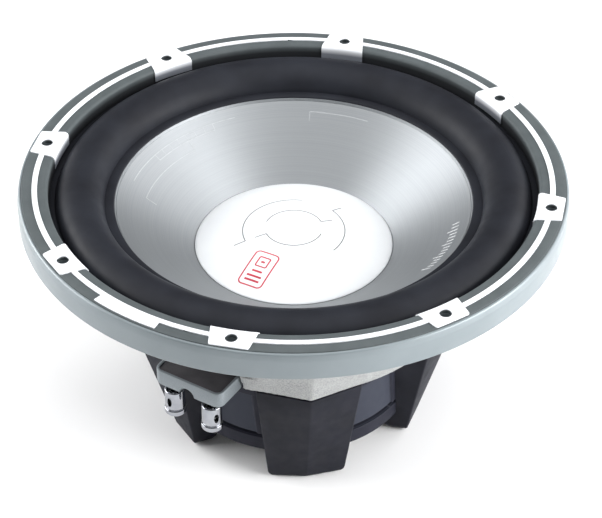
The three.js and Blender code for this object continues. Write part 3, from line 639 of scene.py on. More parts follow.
def make_gasket():
    outside = filleted([
        (STRIPE_OUT, GASKET_SEAT),
        (GASKET_OUTER_R, GASKET_SEAT),
        (GASKET_OUTER_R, GASKET_TOP, 0.5),
        (STRIPE_OUT, GASKET_TOP),
    ], 30)
    outline = outside + inner_edge(0)
    outline += [(RIM_INNER_R, WALL_BASE), (TRIM_INNER_R, WALL_BASE), (TRIM_INNER_R, GASKET_SEAT)]
    gasket = turned("gasket_fine", outline, GASKET)
    cut(gasket, bolt_pins(BOLT_HOLE_R, GASKET_SEAT - 1, GASKET_TOP + 1))
    return place(gasket, "frame", "grey_rubber", "gasket")


def make_inlay():
    """A thin skin over the gasket, kept only where the stripe and the pads lie."""
    skin_outline = inner_edge(INLAY_THICK) + [(RIM_INNER_R - INLAY_THICK, PAD_BASE), (RIM_INNER_R, PAD_BASE)]
    skin_outline += inner_edge(0)[::-1] + [(PAD_OUT + 1, GASKET_TOP), (PAD_OUT + 1, INLAY_TOP)]
    inlay = turned("inlay_ring_fine", skin_outline, INLAY)
    low, high = PAD_BASE - 2, INLAY_TOP + 2
    kept = turned("tool", rect(STRIPE_IN, STRIPE_OUT, low, high), TOOL)
    pad_outline = filleted([
        (-PAD_HALF_IN, RIM_INNER_R - 2),
        (PAD_HALF_IN, RIM_INNER_R - 2),
        (PAD_HALF_OUT, PAD_OUT, 1.4),
        (-PAD_HALF_OUT, PAD_OUT, 1.4),
    ])
    pads = [face_out(slab("tool", pad_outline, low, high, TOOL), d) for d in BOLT_DEGREES]
    steps = 24
    degrees = [lerp(*LONG_PAD_DEG, i / steps) for i in range(steps + 1)]
    long_outline = [tuple(around(PAD_OUT - 0.5, d).xy) for d in degrees]
    long_outline += [tuple(around(STRIPE_IN + 1, d).xy) for d in degrees[::-1]]
    long_pad = slab("tool", long_outline, low, high, TOOL)
    combine(kept, [*pads, long_pad], "UNION")
    combine(inlay, [kept], "INTERSECT")
    cut(inlay, bolt_pins(BOLT_HOLE_R, GASKET_TOP - 1, INLAY_TOP + 1))
    paint(inlay, INLAY)
    return place(inlay, "frame", "white_plastic", "inlay_ring")


# ---- moving parts ----
CONE_EDGE_R = 103.5
CONE_EDGE_Z = 148.9
CONE_SLOPE = 0.718
CONE_THICK = 1.2
LIP_TOP = CONE_EDGE_Z + 0.6
SURROUND_FOOT_R = 109
SURROUND_OUTER_R = 137
ROLL_RISE = 12.5
RUBBER_THICK = 1.6
CAP_R = 58.1
CAP_RISE = 11
CAP_SKIN = 1.2
FORMER_THICK = 0.7
FORMER_R = node_box("coil_former")[1].x - FORMER_THICK
NECK_R = FORMER_R + FORMER_THICK + 0.2
COIL_THICK = 1.3


def cone_face_z(r):
    return CONE_EDGE_Z - (CONE_EDGE_R - r) * CONE_SLOPE


def radial_blend(piece):
    """Bakes a ring's placement into its mesh."""
    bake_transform(piece)
    return piece


def roll_point(t, skin):
    angle = math.pi * (1 - t)
    centre = (SURROUND_FOOT_R + SURROUND_OUTER_R) / 2
    half = (SURROUND_OUTER_R - SURROUND_FOOT_R) / 2 - skin
    foot_z = lerp(LIP_TOP, FLANGE_TOP, t)
    return (centre + half * math.cos(angle), foot_z + (ROLL_RISE - skin) * math.sin(angle))


def make_surround():
    steps = 36
    times = [i / steps for i in range(1, steps)]
    foot = 1.2
    outer_foot = 1.5
    outline = [
        (CONE_EDGE_R, LIP_TOP),
        (CONE_EDGE_R, LIP_TOP + foot * 0.6),
        (CONE_EDGE_R + 0.5, LIP_TOP + foot),
        (SURROUND_FOOT_R - 0.4, LIP_TOP + foot),
    ]
    outline += [roll_point(t, 0) for t in times if roll_point(t, 0)[1] > LIP_TOP + foot or t > 0.5]
    outline += [
        (SURROUND_OUTER_R + 0.3, FLANGE_TOP + outer_foot),
        (TRIM_INNER_R - 0.5, FLANGE_TOP + outer_foot),
        (TRIM_INNER_R - 0.5, FLANGE_TOP),
        (SURROUND_OUTER_R - 1.3, FLANGE_TOP),
    ]
    outline += [roll_point(t, RUBBER_THICK) for t in times[::-1]]
    outline += [(SURROUND_FOOT_R, LIP_TOP)]
    surround = turned("surround_fine", outline, RUBBER, sharp_deg=50)
    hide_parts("surround")
    return radial_blend(surround)


def make_cone():
    """The cone with a fine groove and a bead at its rim."""
    outline = [
        (NECK_R, cone_face_z(NECK_R) - 2.4),
        (CONE_EDGE_R + 0.6, CONE_EDGE_Z - CONE_THICK - 0.4),
        (SURROUND_FOOT_R - 0.4, CONE_EDGE_Z - CONE_THICK + 0.6),
        (SURROUND_FOOT_R - 0.4, LIP_TOP - 0.02),
        (CONE_EDGE_R + 0.3, LIP_TOP - 0.02),
        (CONE_EDGE_R - 0.05, LIP_TOP + 0.25),
        (CONE_EDGE_R - 0.35, LIP_TOP + 0.2),
        (CONE_EDGE_R - 0.6, cone_face_z(CONE_EDGE_R - 0.6) + 0.05),
        (CONE_EDGE_R - 0.7, cone_face_z(CONE_EDGE_R - 0.7) - 0.3),
        (CONE_EDGE_R - 1.0, cone_face_z(CONE_EDGE_R - 1.0) - 0.3),
        (CONE_EDGE_R - 1.1, cone_face_z(CONE_EDGE_R - 1.1)),
    ]
    rows = 24
    radii = [lerp(CONE_EDGE_R - 1.6, NECK_R, i / rows) for i in range(rows + 1)]
    outline += [(r, cone_face_z(r)) for r in radii]
    cone = turned("cone_fine", outline, CONE)
    return place(cone, "cone_assembly", "cone_metal", "cone")


CAP_BALL = (CAP_R * CAP_R + CAP_RISE * CAP_RISE) / (2 * CAP_RISE)
CAP_EDGE_Z = cone_face_z(CAP_R) + 0.9


def dome_z(r, skin=0.0):
    ball = CAP_BALL - skin
    return CAP_EDGE_Z + CAP_RISE - CAP_BALL + math.sqrt(ball * ball - r * r)


def make_dust_cap():
    rows = 30
    edge = CAP_R - 0.6
    top = [(edge * i / rows, dome_z(edge * i / rows)) for i in range(rows + 1)]
    rim = [(CAP_R - 0.15, dome_z(CAP_R - 0.3) - 0.25)]
    rim += [(CAP_R, CAP_EDGE_Z - 0.5), (CAP_R - 0.4, CAP_EDGE_Z - 0.9)]
    inside = CAP_R - 1.6
    bottom = [(inside * i / 8, dome_z(inside * i / 8, CAP_SKIN)) for i in range(9)]
    cap = turned("dust_cap_fine", top + rim + bottom[::-1], CAP)
    return place(cap, "cone_assembly", "cap_plastic", "dust_cap")


LABEL_DEG = 61
LABEL_AT = (-20.1, -33.6)


def densified(path, closed, step=1.2):
    """A path with points added, so that no stretch of it is longer than the step."""
    points = []
    for i, here in enumerate(path):
        points.append(here)
        if closed or i < len(path) - 1:
            there = path[(i + 1) % len(path)]
            parts = math.ceil(math.dist(here, there) / step)
            for k in range(1, parts):
                points.append(tuple(lerp(a, b, k / parts) for a, b in zip(here, there)))
    return points


def ribbons(name, paths, width, height_at, material, lift=0.05, closed=False):
    """Thin lines that follow flat paths over a curved surface, used for printed ink and for painted groove
    shade.
    """
    corners, faces = [], []
    for path in (densified(path, closed) for path in paths):
        start = len(corners)
        count = len(path)
        for i, here in enumerate(path):
            before = path[i - 1] if i or closed else here
            after = path[(i + 1) % count] if i < count - 1 or closed else here
            along = (Vector(after) - Vector(before)).normalized()
            side = Vector((-along.y, along.x)) * width / 2
            for x, y in (Vector(here) + side, Vector(here) - side):
                corners.append((x, y, height_at(math.hypot(x, y)) + lift))
                corners.append((x, y, height_at(math.hypot(x, y)) - 0.15))
        for i in range(count if closed else count - 1):
            a = start + i * 4
            b = start + ((i + 1) % count) * 4
            faces += [(a, b, b + 2, a + 2), (a + 1, a + 3, b + 3, b + 1)]
            faces += [(a, a + 1, b + 1, b), (a + 2, b + 2, b + 3, a + 3)]
        if not closed:
            last = start + (count - 1) * 4
            faces += [(start, start + 2, start + 3, start + 1), (last, last + 1, last + 3, last + 2)]
    return mesh_object(name, corners, faces, material)


def arc_path(radius, first, last, step=1.5):
    count = max(2, math.ceil(abs(last - first) / step))
    return [tuple(around(radius, lerp(first, last, i / count)).xy) for i in range(count + 1)]


def ray_path(degrees, inner, outer, steps=6):
    return [tuple(around(lerp(inner, outer, i / steps), degrees).xy) for i in range(steps + 1)]


def make_prints():
    """Plain arcs and ticks on the cone, plain rings of painted groove shade and a plain red frame on the cap.
    """
    cone_arcs = ((97, 112, 166), (93.5, 121, 149), (88, 133, 170), (97, 62, 84))
    cone_lines = [arc_path(*arc) for arc in cone_arcs]
    cone_lines += [ray_path(121 + 4 * k, 93.5, 97) for k in range(8)]
    cone_lines += [ray_path(170, 82, 88), ray_path(133, 88, 93.5), ray_path(84, 92, 97)]
    grey = ribbons("cone_print_grey", cone_lines, 0.35, cone_face_z, GREY_INK)
    scale = [ray_path(-38 + 2 * k, 92.5 if k % 4 else 90.5, 96.5) for k in range(15)]
    pale = ribbons("cone_print_pale", scale, 0.7, cone_face_z, PALE_INK)
    rings = [arc_path(17, 20, 160), arc_path(17, 200, 340), arc_path(30, -40, 40), arc_path(30, 80, 200)]
    rings += [ray_path(20, 17, 24), ray_path(200, 17, 24), ray_path(40, 30, 37), ray_path(200, 30, 37)]
    # The cap's rings are painted shade where the real cap has debossed grooves.
    groove_shade_lines = ribbons("cap_groove_shade", rings, 0.6, dome_z, GROOVE_SHADE_PAINT)
    turn = Matrix.Rotation(math.radians(LABEL_DEG - 90), 2)

    def turned_in(path):
        return [tuple(Vector(LABEL_AT) + turn @ Vector(p)) for p in path]

    border = filleted(rect(-7.4, 7.4, -12.2, 12.2, 2.6))
    square = filleted(rect(-3.4, 3.4, 1.6, 8.4, 0.8))
    frames = [turned_in(border), turned_in(square)]
    outline = ribbons("cap_label_frame", frames, 0.85, dome_z, RED_INK, closed=True)
    bars = [[(-half, y), (half, y)] for y, half in ((-8.6, 4.6), (-5.6, 4.6), (-2, 3.2), (5, 1.2))]
    inside = ribbons("cap_label_bars", [turned_in(bar) for bar in bars], 1.3, dome_z, RED_INK)
    for obj in (grey, pale):
        place(obj, "cone_assembly", "cone_metal")
    for obj in (groove_shade_lines, outline, inside):
        place(obj, "cone_assembly", "cap_plastic")


def make_coil():
    outline = rect(FORMER_R, FORMER_R + FORMER_THICK, *heights("coil_former"), 0.2)
    former = turned("coil_former_fine", filleted(outline, 45), FORMER, 128)
    place(former, "cone_assembly", "brown_former", "coil_former")
    base, top = heights("voice_coil")
    outer = node_box("voice_coil")[1].x
    coil = turned("voice_coil_fine", filleted([
        (outer - COIL_THICK, base, 0.2),
        (outer, base, 0.4),
        (outer, top, 0.4),
        (outer - COIL_THICK, top, 0.2),
    ], 30), COPPER, 128)
    place(coil, "cone_assembly", "copper", "voice_coil")


def make_spider():
    """Corrugated cloth between the basket's shelf and the coil former."""
    rolls, wave, cloth = 5, 1.8, 0.9
    first_roll, last_roll, edge = 37, 66, 72
    steps = rolls * 16
    middle = []
    for i in range(steps + 1):
        t = i / steps
        swell = min(1.0, 4 * t, 4 * (1 - t))
        slant = SHELF_Z + 2.4 - 1.9 * t
        swing = wave * swell * math.sin(2 * math.pi * rolls * t)
        middle.append((lerp(first_roll, last_roll, t), slant + swing))
    outline = [(NECK_R, SHELF_Z + 1)] + middle + [(edge, SHELF_Z + 0.02), (edge, SHELF_Z + cloth)]
    outline += [(r, z + cloth) for r, z in middle[::-1]]
    outline += [(NECK_R + 1.2, SHELF_Z + 4.2), (NECK_R + 1, SHELF_Z + 6), (NECK_R, SHELF_Z + 6)]
    spider = turned("spider_fine", outline, CLOTH, 192, sharp_deg=60)
    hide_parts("spider")
    return radial_blend(spider)


# ---- motor ----
SCREW_CIRCLE_R = 56
SCREW_DEGREES = [d + 180 / LEG_COUNT for d in LEG_DEGREES]
HUB_FLOOR_TOP = 71
GAP_OUTER_R = 34.7
MAGNET_BORE_R = 42
POLE_R = 30.4
VENT_R = 12


def make_ring(node, inner, outer, material, slot, fillet, holes=()):
    outline = filleted(rect(inner, outer, *heights(node), fillet), 20)
    ring = turned(f"{node}_fine", outline, material, 192)
    if holes:
        cut(ring, holes)
    return place(ring, "frame", slot, node)


def make_motor():
    plate_holes = [pin(2.6, HUB_BASE - 7, HUB_BASE + 1, *around(SCREW_CIRCLE_R, d).xy) for d in SCREW_DEGREES]
    make_ring("top_plate", GAP_OUTER_R, MOTOR_R, ZINC, "zinc_steel", 0.8, plate_holes)
    for magnet in ("magnet_rear", "magnet_front"):
        make_ring(magnet, MAGNET_BORE_R, MOTOR_R, FERRITE, "ferrite", 1.2)
    make_ring("shorting_ring", POLE_R + 0.05, POLE_R + 0.8, COPPER, "copper", 0.2)
    top = node_box("yoke")[1].z
    base_top = YOKE_BASE + 10
    yoke = turned("yoke_fine", filleted([
        (VENT_R + 2, YOKE_BASE, 0.6),
        (MOTOR_R - 0.3, YOKE_BASE, 1.4),
        (MOTOR_R - 0.3, base_top, 0.6),
        (POLE_R, base_top),
        (POLE_R, top, 1.5),
        (VENT_R + 2, top, 1.0),
        (VENT_R, top - 5.5, 1.0),
        (VENT_R, YOKE_BASE + 3),
        (VENT_R + 2, YOKE_BASE + 3),
    ]), ZINC, 192)
    place(yoke, "frame", "zinc_steel", "yoke")
    screen_top = node_box("vent_screen")[1].z
    screen = turned("vent_screen_fine", filleted([
        (0, screen_top - 1.5),
        (VENT_R + 1.7, screen_top - 1.5, 0.3),
        (VENT_R + 1.7, screen_top, 0.3),
        (0, screen_top),
    ], 30), COVER, 96)
    spots = [Vector((0, 0))] + [around(7.8, 60 * k).xy for k in range(6)]
    cut(screen, [pin(2.8, screen_top - 3, screen_top + 1, *spot, 32) for spot in spots])
    place(screen, "frame", "black_plastic", "vent_screen")


def make_screw(name, node, shank, base, seat, head_r, head_h, at, material=ZINC):
    """A button-head screw with a hexagon socket."""
    screw = turned(name, filleted([
        (0, base),
        (shank, base, 0.4),
        (shank, seat),
        (head_r, seat, 0.3),
        (head_r, seat + head_h, 0.9),
        (0, seat + head_h),
    ], 20), material, SMALL, at)
    socket = pin(head_r * 0.5, seat + head_h * 0.45, seat + head_h + 1, *at, 6)
    cut(screw, [socket])
    return place(screw, "frame", "zinc_steel", node)


def make_hub_screws():
    for i, degrees in enumerate(SCREW_DEGREES):
        at = tuple(around(SCREW_CIRCLE_R, degrees).xy)
        node = f"hub_screw_{i + 1}"
        make_screw(f"{node}_fine", node, 2.3, HUB_BASE - 6.5, HUB_FLOOR_TOP + 0.02, 4.6, 4, at)


# ---- basket ----
HUB_R = 76
TAB_BASE = 74.6
SHELL_HALF = 22.5
SHELL_IN = 88
SHELL_OUT = 113.5
SHELL_BASE = 82
SHELL_TOP = node_box("terminal_shell")[1].z
LEG_RIDGE_R = 101.1
CASTING_VOXEL = 1.1
SPOKE_LEVELS = [
    # height, ridge radius, half width, drop to the edges, wall
    (HUB_BASE, 87.5, 27, 8, 14),
    (LEG_TOP, 88.5, 27, 9, 14),
    (LEG_TOP + 0.4, LEG_RIDGE_R, 36, 14, 16),
    (LEG_TOP + 6, LEG_RIDGE_R + 1.8, 34, 12, 7),
    (102, 107.6, 29, 9, 6),
    (126, 116.5, 25, 7, 6),
    (141, 129, 28, 7, 6.5),
    (RIM_BASE + 2, 144, 36, 6, 9),
]


def spoke_level(level):
    """One level of a spoke: a V whose ridge points outwards."""
    z, ridge, half, drop, wall = level
    back = ridge - drop - wall
    return [(-half, back, z), (0, ridge - wall, z), (half, back, z), (half, ridge - drop, z), (0, ridge, z),
            (-half, ridge - drop, z)]


def make_basket():
    """Flange, hub, spokes and terminal tab, fused and softened as one casting."""
    flange = turned("basket_fine", rect(FLANGE_INNER_R, FLANGE_OUTER_R, RIM_BASE, FLANGE_TOP), CAST)
    spokes = [face_out(loft("spoke", [spoke_level(l) for l in SPOKE_LEVELS], CAST), d) for d in LEG_DEGREES]
    hub_bore, shelf_r, shelf_bore = 44, 72.5, 64
    hub = turned("hub", [
        (hub_bore, HUB_BASE),
        (HUB_R - 3, HUB_BASE),
        (HUB_R, HUB_BASE + 3),
        (HUB_R, HUB_FLOOR_TOP),
        (shelf_r, HUB_FLOOR_TOP),
        (shelf_r, SHELF_Z),
        (shelf_bore, SHELF_Z),
        (shelf_bore, SHELF_Z - 2.5),
        (shelf_r - 3, SHELF_Z - 2.5),
        (shelf_r - 3, HUB_FLOOR_TOP),
        (hub_bore, HUB_FLOOR_TOP),
    ], CAST, 192)
    skirt_base, skirt_top = LEG_TOP + 0.2, 94
    skirt_outline = [(87.5, skirt_base), (94.4, skirt_base), (99, skirt_top), (92.5, skirt_top)]
    skirt = turned("skirt", skirt_outline, CAST)
    gap_outline = rect(-SHELL_HALF - 1, SHELL_HALF + 1, SHELL_IN - 12, SHELL_OUT)
    gap = face_out(slab("tool", gap_outline, skirt_base - 1, skirt_top + 1, TOOL), TERMINAL_DEG)
    cut(skirt, [gap])
    tab = face_out(slab("tab", rect(-16.5, 1.5, 70.5, 96.5), TAB_BASE, SHELL_BASE, CAST), TERMINAL_DEG)
    combine(flange, [skirt, *spokes], "UNION")
    room_outline = rect(-SHELL_HALF - 0.5, SHELL_HALF + 0.5, SHELL_IN - 0.5, SHELL_OUT + 5)
    room = face_out(slab("tool", room_outline, SHELL_BASE, SHELL_TOP + 0.5, TOOL), TERMINAL_DEG)
    cut(flange, [room])
    combine(flange, [hub, tab], "UNION")
    cut(flange, bolt_pins(BOLT_HOLE_R, RIM_BASE - 1, FLANGE_TOP + 1))
    paint(flange, CAST)
    remesh = flange.modifiers.new("remesh", "REMESH")
    remesh.mode = "VOXEL"
    remesh.voxel_size = CASTING_VOXEL * MM
    soften = flange.modifiers.new("soften", "SMOOTH")
    soften.factor = 0.5
    soften.iterations = 4
    settle(flange)
    flange.data.shade_smooth()
    paint(flange, CAST)
    return place(flange, "frame", "cast_aluminium", "basket")


# ---- boot ----
LEG_SLOPE = 0.285
LEG_DROP_TOP = 12
LEG_DROP_FOOT = 3
LEG_ROOM_R = 89.5
LEG_GAP = 0.8             # shadow line left under the casting
LEG_HALF_TOP = 30.4
LEG_HALF_FOOT = 22.6
FOOT_OUTER_ROUND = 2.2
FOOT_INNER_ROUND = 8
FOOT_SIDE_ROUND = 4.5
FOOT_INNER_R = 60
GROOVE_DEPTH = 4


def leg_half(z):
    return lerp(LEG_HALF_FOOT, LEG_HALF_TOP, z / LEG_TOP)


def round_pull(z, radius):
    """How far a rounded bottom edge is drawn in at a height."""
    rise = max(0.0, radius - z)
    return radius - math.sqrt(radius * radius - rise * rise)


def leg_section(z, shrink=0.0):
    """A leg's outline at a height, with its foot rounded most on the inner side."""
    outer = LEG_RIDGE_R - LEG_SLOPE * (LEG_TOP - z) - shrink - round_pull(z, FOOT_OUTER_ROUND)
    inner = FOOT_INNER_R + shrink + round_pull(z, FOOT_INNER_ROUND)
    half = leg_half(z) - shrink - round_pull(z, FOOT_SIDE_ROUND)
    drop = lerp(LEG_DROP_FOOT, LEG_DROP_TOP, z / LEG_TOP)
    flat = filleted([
        (-half, inner, 1.5),
        (half, inner, 1.5),
        (half, outer - drop, 1.3),
        (0, outer, 3.0),
        (-half, outer - drop, 1.3),
    ], arc_steps=4)
    return [(x, y, z) for x, y in flat]


def make_leg(i, degrees):
    foot_steps = 14
    turns = [math.pi / 2 * k / foot_steps for k in range(foot_steps + 1)]
    foot_heights = [FOOT_INNER_ROUND * (1 - math.cos(turn)) for turn in turns]
    top = LEG_TOP - LEG_GAP
    sections = [leg_section(z) for z in foot_heights + [20, 40, 60, top - 0.9]]
    sections += [leg_section(top - 0.3, 0.2), leg_section(top, 0.7)]
    node = f"boot_leg_{i + 1}"
    leg = loft(f"{node}_fine", sections, SHADED_LEG_RUBBER)
    face_out(leg, degrees)
    gap = 0.1
    room = turned("tool", [
        (0, DRUM_BASE - gap),
        (DRUM_R + gap, DRUM_BASE - gap),
        (DRUM_R + gap, DRUM_TOP + gap),
        (LEG_ROOM_R, DRUM_TOP + gap),
        (LEG_ROOM_R, LEG_TOP + 1),
        (0, LEG_TOP + 1),
    ], TOOL)
    cut(leg, [room])
    paint(leg, SHADED_LEG_RUBBER)
    shade(leg, 40)
    return place(leg, "frame", "boot_rubber", node)


def panel_reshape(degrees, r, z):
    """Brings the recessed panel back out to the drum's wall beside each leg."""
    if abs(r - (DRUM_R - PANEL_DEPTH)) > 0.01:
        return r
    edge = math.degrees(math.asin(leg_half(z) / DRUM_R)) + 2.5
    turn = min(abs((degrees - d + 180) % 360 - 180) for d in LEG_DEGREES)
    return DRUM_R - PANEL_DEPTH * smoothstep(edge, edge + 0.8, turn)


def make_drum():
    groove_base, groove_top, panel_top = 25.0, 27.6, 56
    mouth, rim_z = 62, DRUM_BASE - 0.9
    bore = MOTOR_R + 0.9
    deep = DRUM_R - GROOVE_DEPTH
    panel = [(DRUM_R - PANEL_DEPTH, lerp(groove_top, panel_top, k / 8)) for k in range(9)]
    outline = filleted([
        (mouth, rim_z, 1),
        (DRUM_R, rim_z, 0.7),
        (DRUM_R, groove_base, 0.5),
        (deep, groove_base + 0.4, 0.4),
        (deep, groove_top - 0.4, 0.4),
        *panel,
        (DRUM_R, panel_top + 0.8, 0.3),
        (DRUM_R, DRUM_TOP, 0.8),
        (bore, DRUM_TOP),
        (bore, YOKE_BASE),
        (mouth, YOKE_BASE),
    ])
    drum = turned("boot_drum_fine", outline, BOOT, 720, reshape=panel_reshape)
    return place(drum, "frame", "boot_rubber", "boot_drum")


# ---- terminal block ----
SHELL_FLOOR_TOP = 84
POST_AT = 107.5
POST_HALF_SPAN = 12.6
POST_TOP = 77.5
POST_BASE = node_box("post_sleeve_1")[0].z
POST_TURN_DEG = (61, 0)
TERMINAL_SCREWS = (-2, -14)
TERMINAL_SCREW_AT = 94
WIRE_HOLE_Z = 70.5
SHELL_ROUND = 5


def shell_outline(inset):
    """The terminal shell's outline seen from above, drawn in by an inset."""
    half = SHELL_HALF - inset
    return filleted(rect(-half, half, SHELL_IN + inset, SHELL_OUT - inset, SHELL_ROUND - inset), 9)


def cross_pin(radius, y0, y1, x, z, stretch=1.0, segments=SMALL):
    """A pin lying along the local Y direction, taller than it is wide when stretched."""
    obj = pin(radius, y0, y1, segments=segments)
    obj.data.transform(Matrix.Rotation(math.radians(-90), 4, "X"))
    obj.data.transform(Matrix.Diagonal((1, 1, stretch, 1)))
    obj.data.transform(Matrix.Translation(Vector((x, 0, z)) * MM))
    return obj


def make_shell():
    shell = slab("terminal_shell_fine", shell_outline(0), SHELL_BASE, SHELL_TOP, SHELL, 0.6)
    room = filleted(rect(-SHELL_HALF + 3.5, SHELL_HALF - 3.5, SHELL_IN + 3, SHELL_OUT - 1.9, 2), 9)
    cavity = slab("tool", room, SHELL_FLOOR_TOP, SHELL_TOP + 1, TOOL)
    seat = slab("tool", shell_outline(1.5), SHELL_TOP - 2, SHELL_TOP + 1, TOOL)
    notch = cross_pin(5, SHELL_OUT - 4.5, SHELL_OUT + 1, 0, SHELL_BASE)
    slot_outline = rect(-16, 0, SHELL_IN - 1, SHELL_IN + 4)
    slot = slab("tool", slot_outline, SHELL_FLOOR_TOP + 0.5, SHELL_FLOOR_TOP + 4, TOOL)
    low, high = SHELL_BASE - 1, SHELL_FLOOR_TOP + 1
    holes = [pin(2.3, low, high, x, POST_AT) for x in (-POST_HALF_SPAN, POST_HALF_SPAN)]
    holes += [pin(2.1, low, high, x, TERMINAL_SCREW_AT) for x in TERMINAL_SCREWS]
    cut(shell, [cavity, seat, notch, slot, *holes])
    paint(shell, SHELL)
    face_out(shell, TERMINAL_DEG)
    place(shell, "frame", "silver_paint", "terminal_shell")
    cover = slab("terminal_cover_fine", shell_outline(1.8), SHELL_TOP - 2, SHELL_TOP - 0.75, COVER, 0.3)
    face_out(cover, TERMINAL_DEG)
    place(cover, "frame", "black_plastic", "terminal_cover")
    for i, x in enumerate(TERMINAL_SCREWS):
        at = tuple((Matrix.Rotation(math.radians(TERMINAL_DEG - 90), 2) @ Vector((x, TERMINAL_SCREW_AT))))
        node = f"terminal_screw_{i + 1}"
        make_screw(f"{node}_fine", node, 1.8, 75, SHELL_FLOOR_TOP + 0.02, 2.7, 2, at)


def tube(name, route, radius, material, sides=12):
    """A round wire along a route, with closed ends."""
    points = [Vector(p) for p in route]
    corners, faces = [], []
    up = Vector((0, 0, 1))
    for i, here in enumerate(points):
        along = (points[min(i + 1, len(points) - 1)] - points[max(i - 1, 0)]).normalized()
        if i == 0 and abs(along.z) > 0.9:
            up = Vector((1, 0, 0))
        side = along.cross(up).normalized()
        up = side.cross(along)
        for k in range(sides):
            angle = 2 * math.pi * k / sides
            corners.append(here + (side * math.cos(angle) + up * math.sin(angle)) * radius)
    for i in range(len(points) - 1):
        for k in range(sides):
            j = (k + 1) % sides
            faces.append((i * sides + k, i * sides + j, (i + 1) * sides + j, (i + 1) * sides + k))
    faces.append(tuple(range(sides)))
    faces.append(tuple(range(len(corners) - sides, len(corners))))
    return mesh_object(name, corners, faces, material, 50)


def smooth_route(points, per_span=10):
    """A Catmull-Rom curve through given points."""
    points = [Vector(p) for p in points]
    padded = [points[0] * 2 - points[1]] + points + [points[-1] * 2 - points[-2]]
    route = []
    for i in range(1, len(padded) - 2):
        a, b, c, d = padded[i - 1:i + 3]
        for k in range(per_span):
            t = k / per_span
            line = 2 * b + (c - a) * t
            bend = (2 * a - 5 * b + 4 * c - d) * t * t
            twist = (3 * b - a - 3 * c + d) * t ** 3
            route.append(0.5 * (line + bend + twist))
    return route + [points[-1]]


def to_row(x, y, z):
    """A point drawn in the terminal block's own directions, turned into the part's frame."""
    flat = Matrix.Rotation(math.radians(TERMINAL_DEG - 90), 2) @ Vector((x, y))
    return Vector((flat.x, flat.y, z))


def make_post(n, x):
    turn = Matrix.Rotation(math.radians(POST_TURN_DEG[n - 1]), 4, "Z")
    spot = Matrix.Translation(Vector((x, POST_AT, 0)) * MM)

    def settle_in(obj, body, slot, node):
        obj.data.transform(spot @ turn)
        face_out(obj, TERMINAL_DEG)
        return place(obj, body, slot, node)

    sleeve = turned(f"post_sleeve_{n}_fine", filleted([
        (0, POST_BASE),
        (6.25, POST_BASE, 1.2),
        (6.25, POST_BASE + 3.6, 0.5),
        (5.35, POST_BASE + 3.9, 0.2),
        (5.35, POST_BASE + 4.5, 0.2),
        (5.85, POST_BASE + 4.8, 0.3),
        (5.7, POST_TOP, 0.6),
        (4.6, POST_TOP, 0.4),
        (4.4, POST_BASE + 3.5),
        (0, POST_BASE + 3.5),
    ]), CHROME, 96)
    cut(sleeve, [cross_pin(1.45, -8, 8, 0, WIRE_HOLE_Z, 2.2)])
    shade(sleeve, 30)
    settle_in(sleeve, f"post_button_{n}", "chrome", f"post_sleeve_{n}")

    stem = turned(f"post_stem_{n}_fine", filleted([
        (0, POST_BASE + 7),
        (2.35, POST_BASE + 7, 0.4),
        (2.35, POST_TOP, 1.0),
        (4.9, SHELL_BASE - 0.5, 0.3),
        (4.9, SHELL_BASE),
        (1.95, SHELL_BASE),
        (1.95, SHELL_FLOOR_TOP + 4.6, 0.3),
        (0, SHELL_FLOOR_TOP + 4.6),
    ]), CHROME, 64)
    cut(stem, [cross_pin(1, -4, 4, 0, WIRE_HOLE_Z)])
    settle_in(stem, "frame", "chrome", f"post_stem_{n}")

    nut_base = SHELL_FLOOR_TOP + 0.75
    hexagon = [tuple(around(4, 60 * k).xy) for k in range(6)]
    nut = slab(f"post_nut_{n}_fine", hexagon, nut_base, nut_base + 3, ZINC, 0.3)
    cut(nut, [pin(2.2, nut_base - 1, nut_base + 4)])
    settle_in(nut, "frame", "zinc_steel", f"post_nut_{n}")

    lug_outline = rect(0, 3.4, SHELL_FLOOR_TOP, nut_base)
    lug = turned(f"solder_lug_{n}_fine", lug_outline, ZINC, SMALL)
    tail_outline = filleted([(-1.6, -8.5, 1), (1.6, -8.5, 1), (1.6, 0), (-1.6, 0)])
    combine(lug, [slab("tool", tail_outline, SHELL_FLOOR_TOP, nut_base, ZINC)], "UNION")
    cut(lug, [pin(2.2, SHELL_FLOOR_TOP - 1, nut_base + 1)])
    lug.data.transform(spot)
    face_out(lug, TERMINAL_DEG)
    place(lug, "frame", "zinc_steel", f"solder_lug_{n}")

    low, high = POST_BASE + 4, POST_TOP - 0.4
    turns, per_turn = 4, 24
    helix = []
    for i in range(turns * per_turn + 1):
        t = i / (turns * per_turn)
        helix.append(around(3.4, 360 * turns * t, lerp(low, high, t)) + Vector((x, POST_AT, 0)))
    spring = tube(f"post_spring_{n}_fine", helix, 0.35, ZINC, 10)
    face_out(spring, TERMINAL_DEG)
    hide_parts(f"post_spring_{n}")
    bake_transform(spring)


CONE_JOIN_R = 41


def make_lead(n, start_x):
    """A tinsel braid from a lug to the cone, slack enough for the cone's travel."""
    end_z = cone_face_z(CONE_JOIN_R) - 4.2
    route = smooth_route([
        to_row(start_x, 91, SHELL_FLOOR_TOP + 2.2),
        to_row(start_x, 86, SHELL_FLOOR_TOP + 2.6),
        to_row(start_x * 0.9, 78, 91),
        to_row(start_x * 0.85, 70, 98),
        to_row(start_x * 0.8, 60, 101.5),
        to_row(start_x * 0.75, 50, 100.5),
        to_row(start_x * 0.7, CONE_JOIN_R, end_z),
    ])
    lead = tube(f"tinsel_lead_{n}_fine", route, 1.1, BRAID, 14)
    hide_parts(f"tinsel_lead_{n}")
    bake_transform(lead)


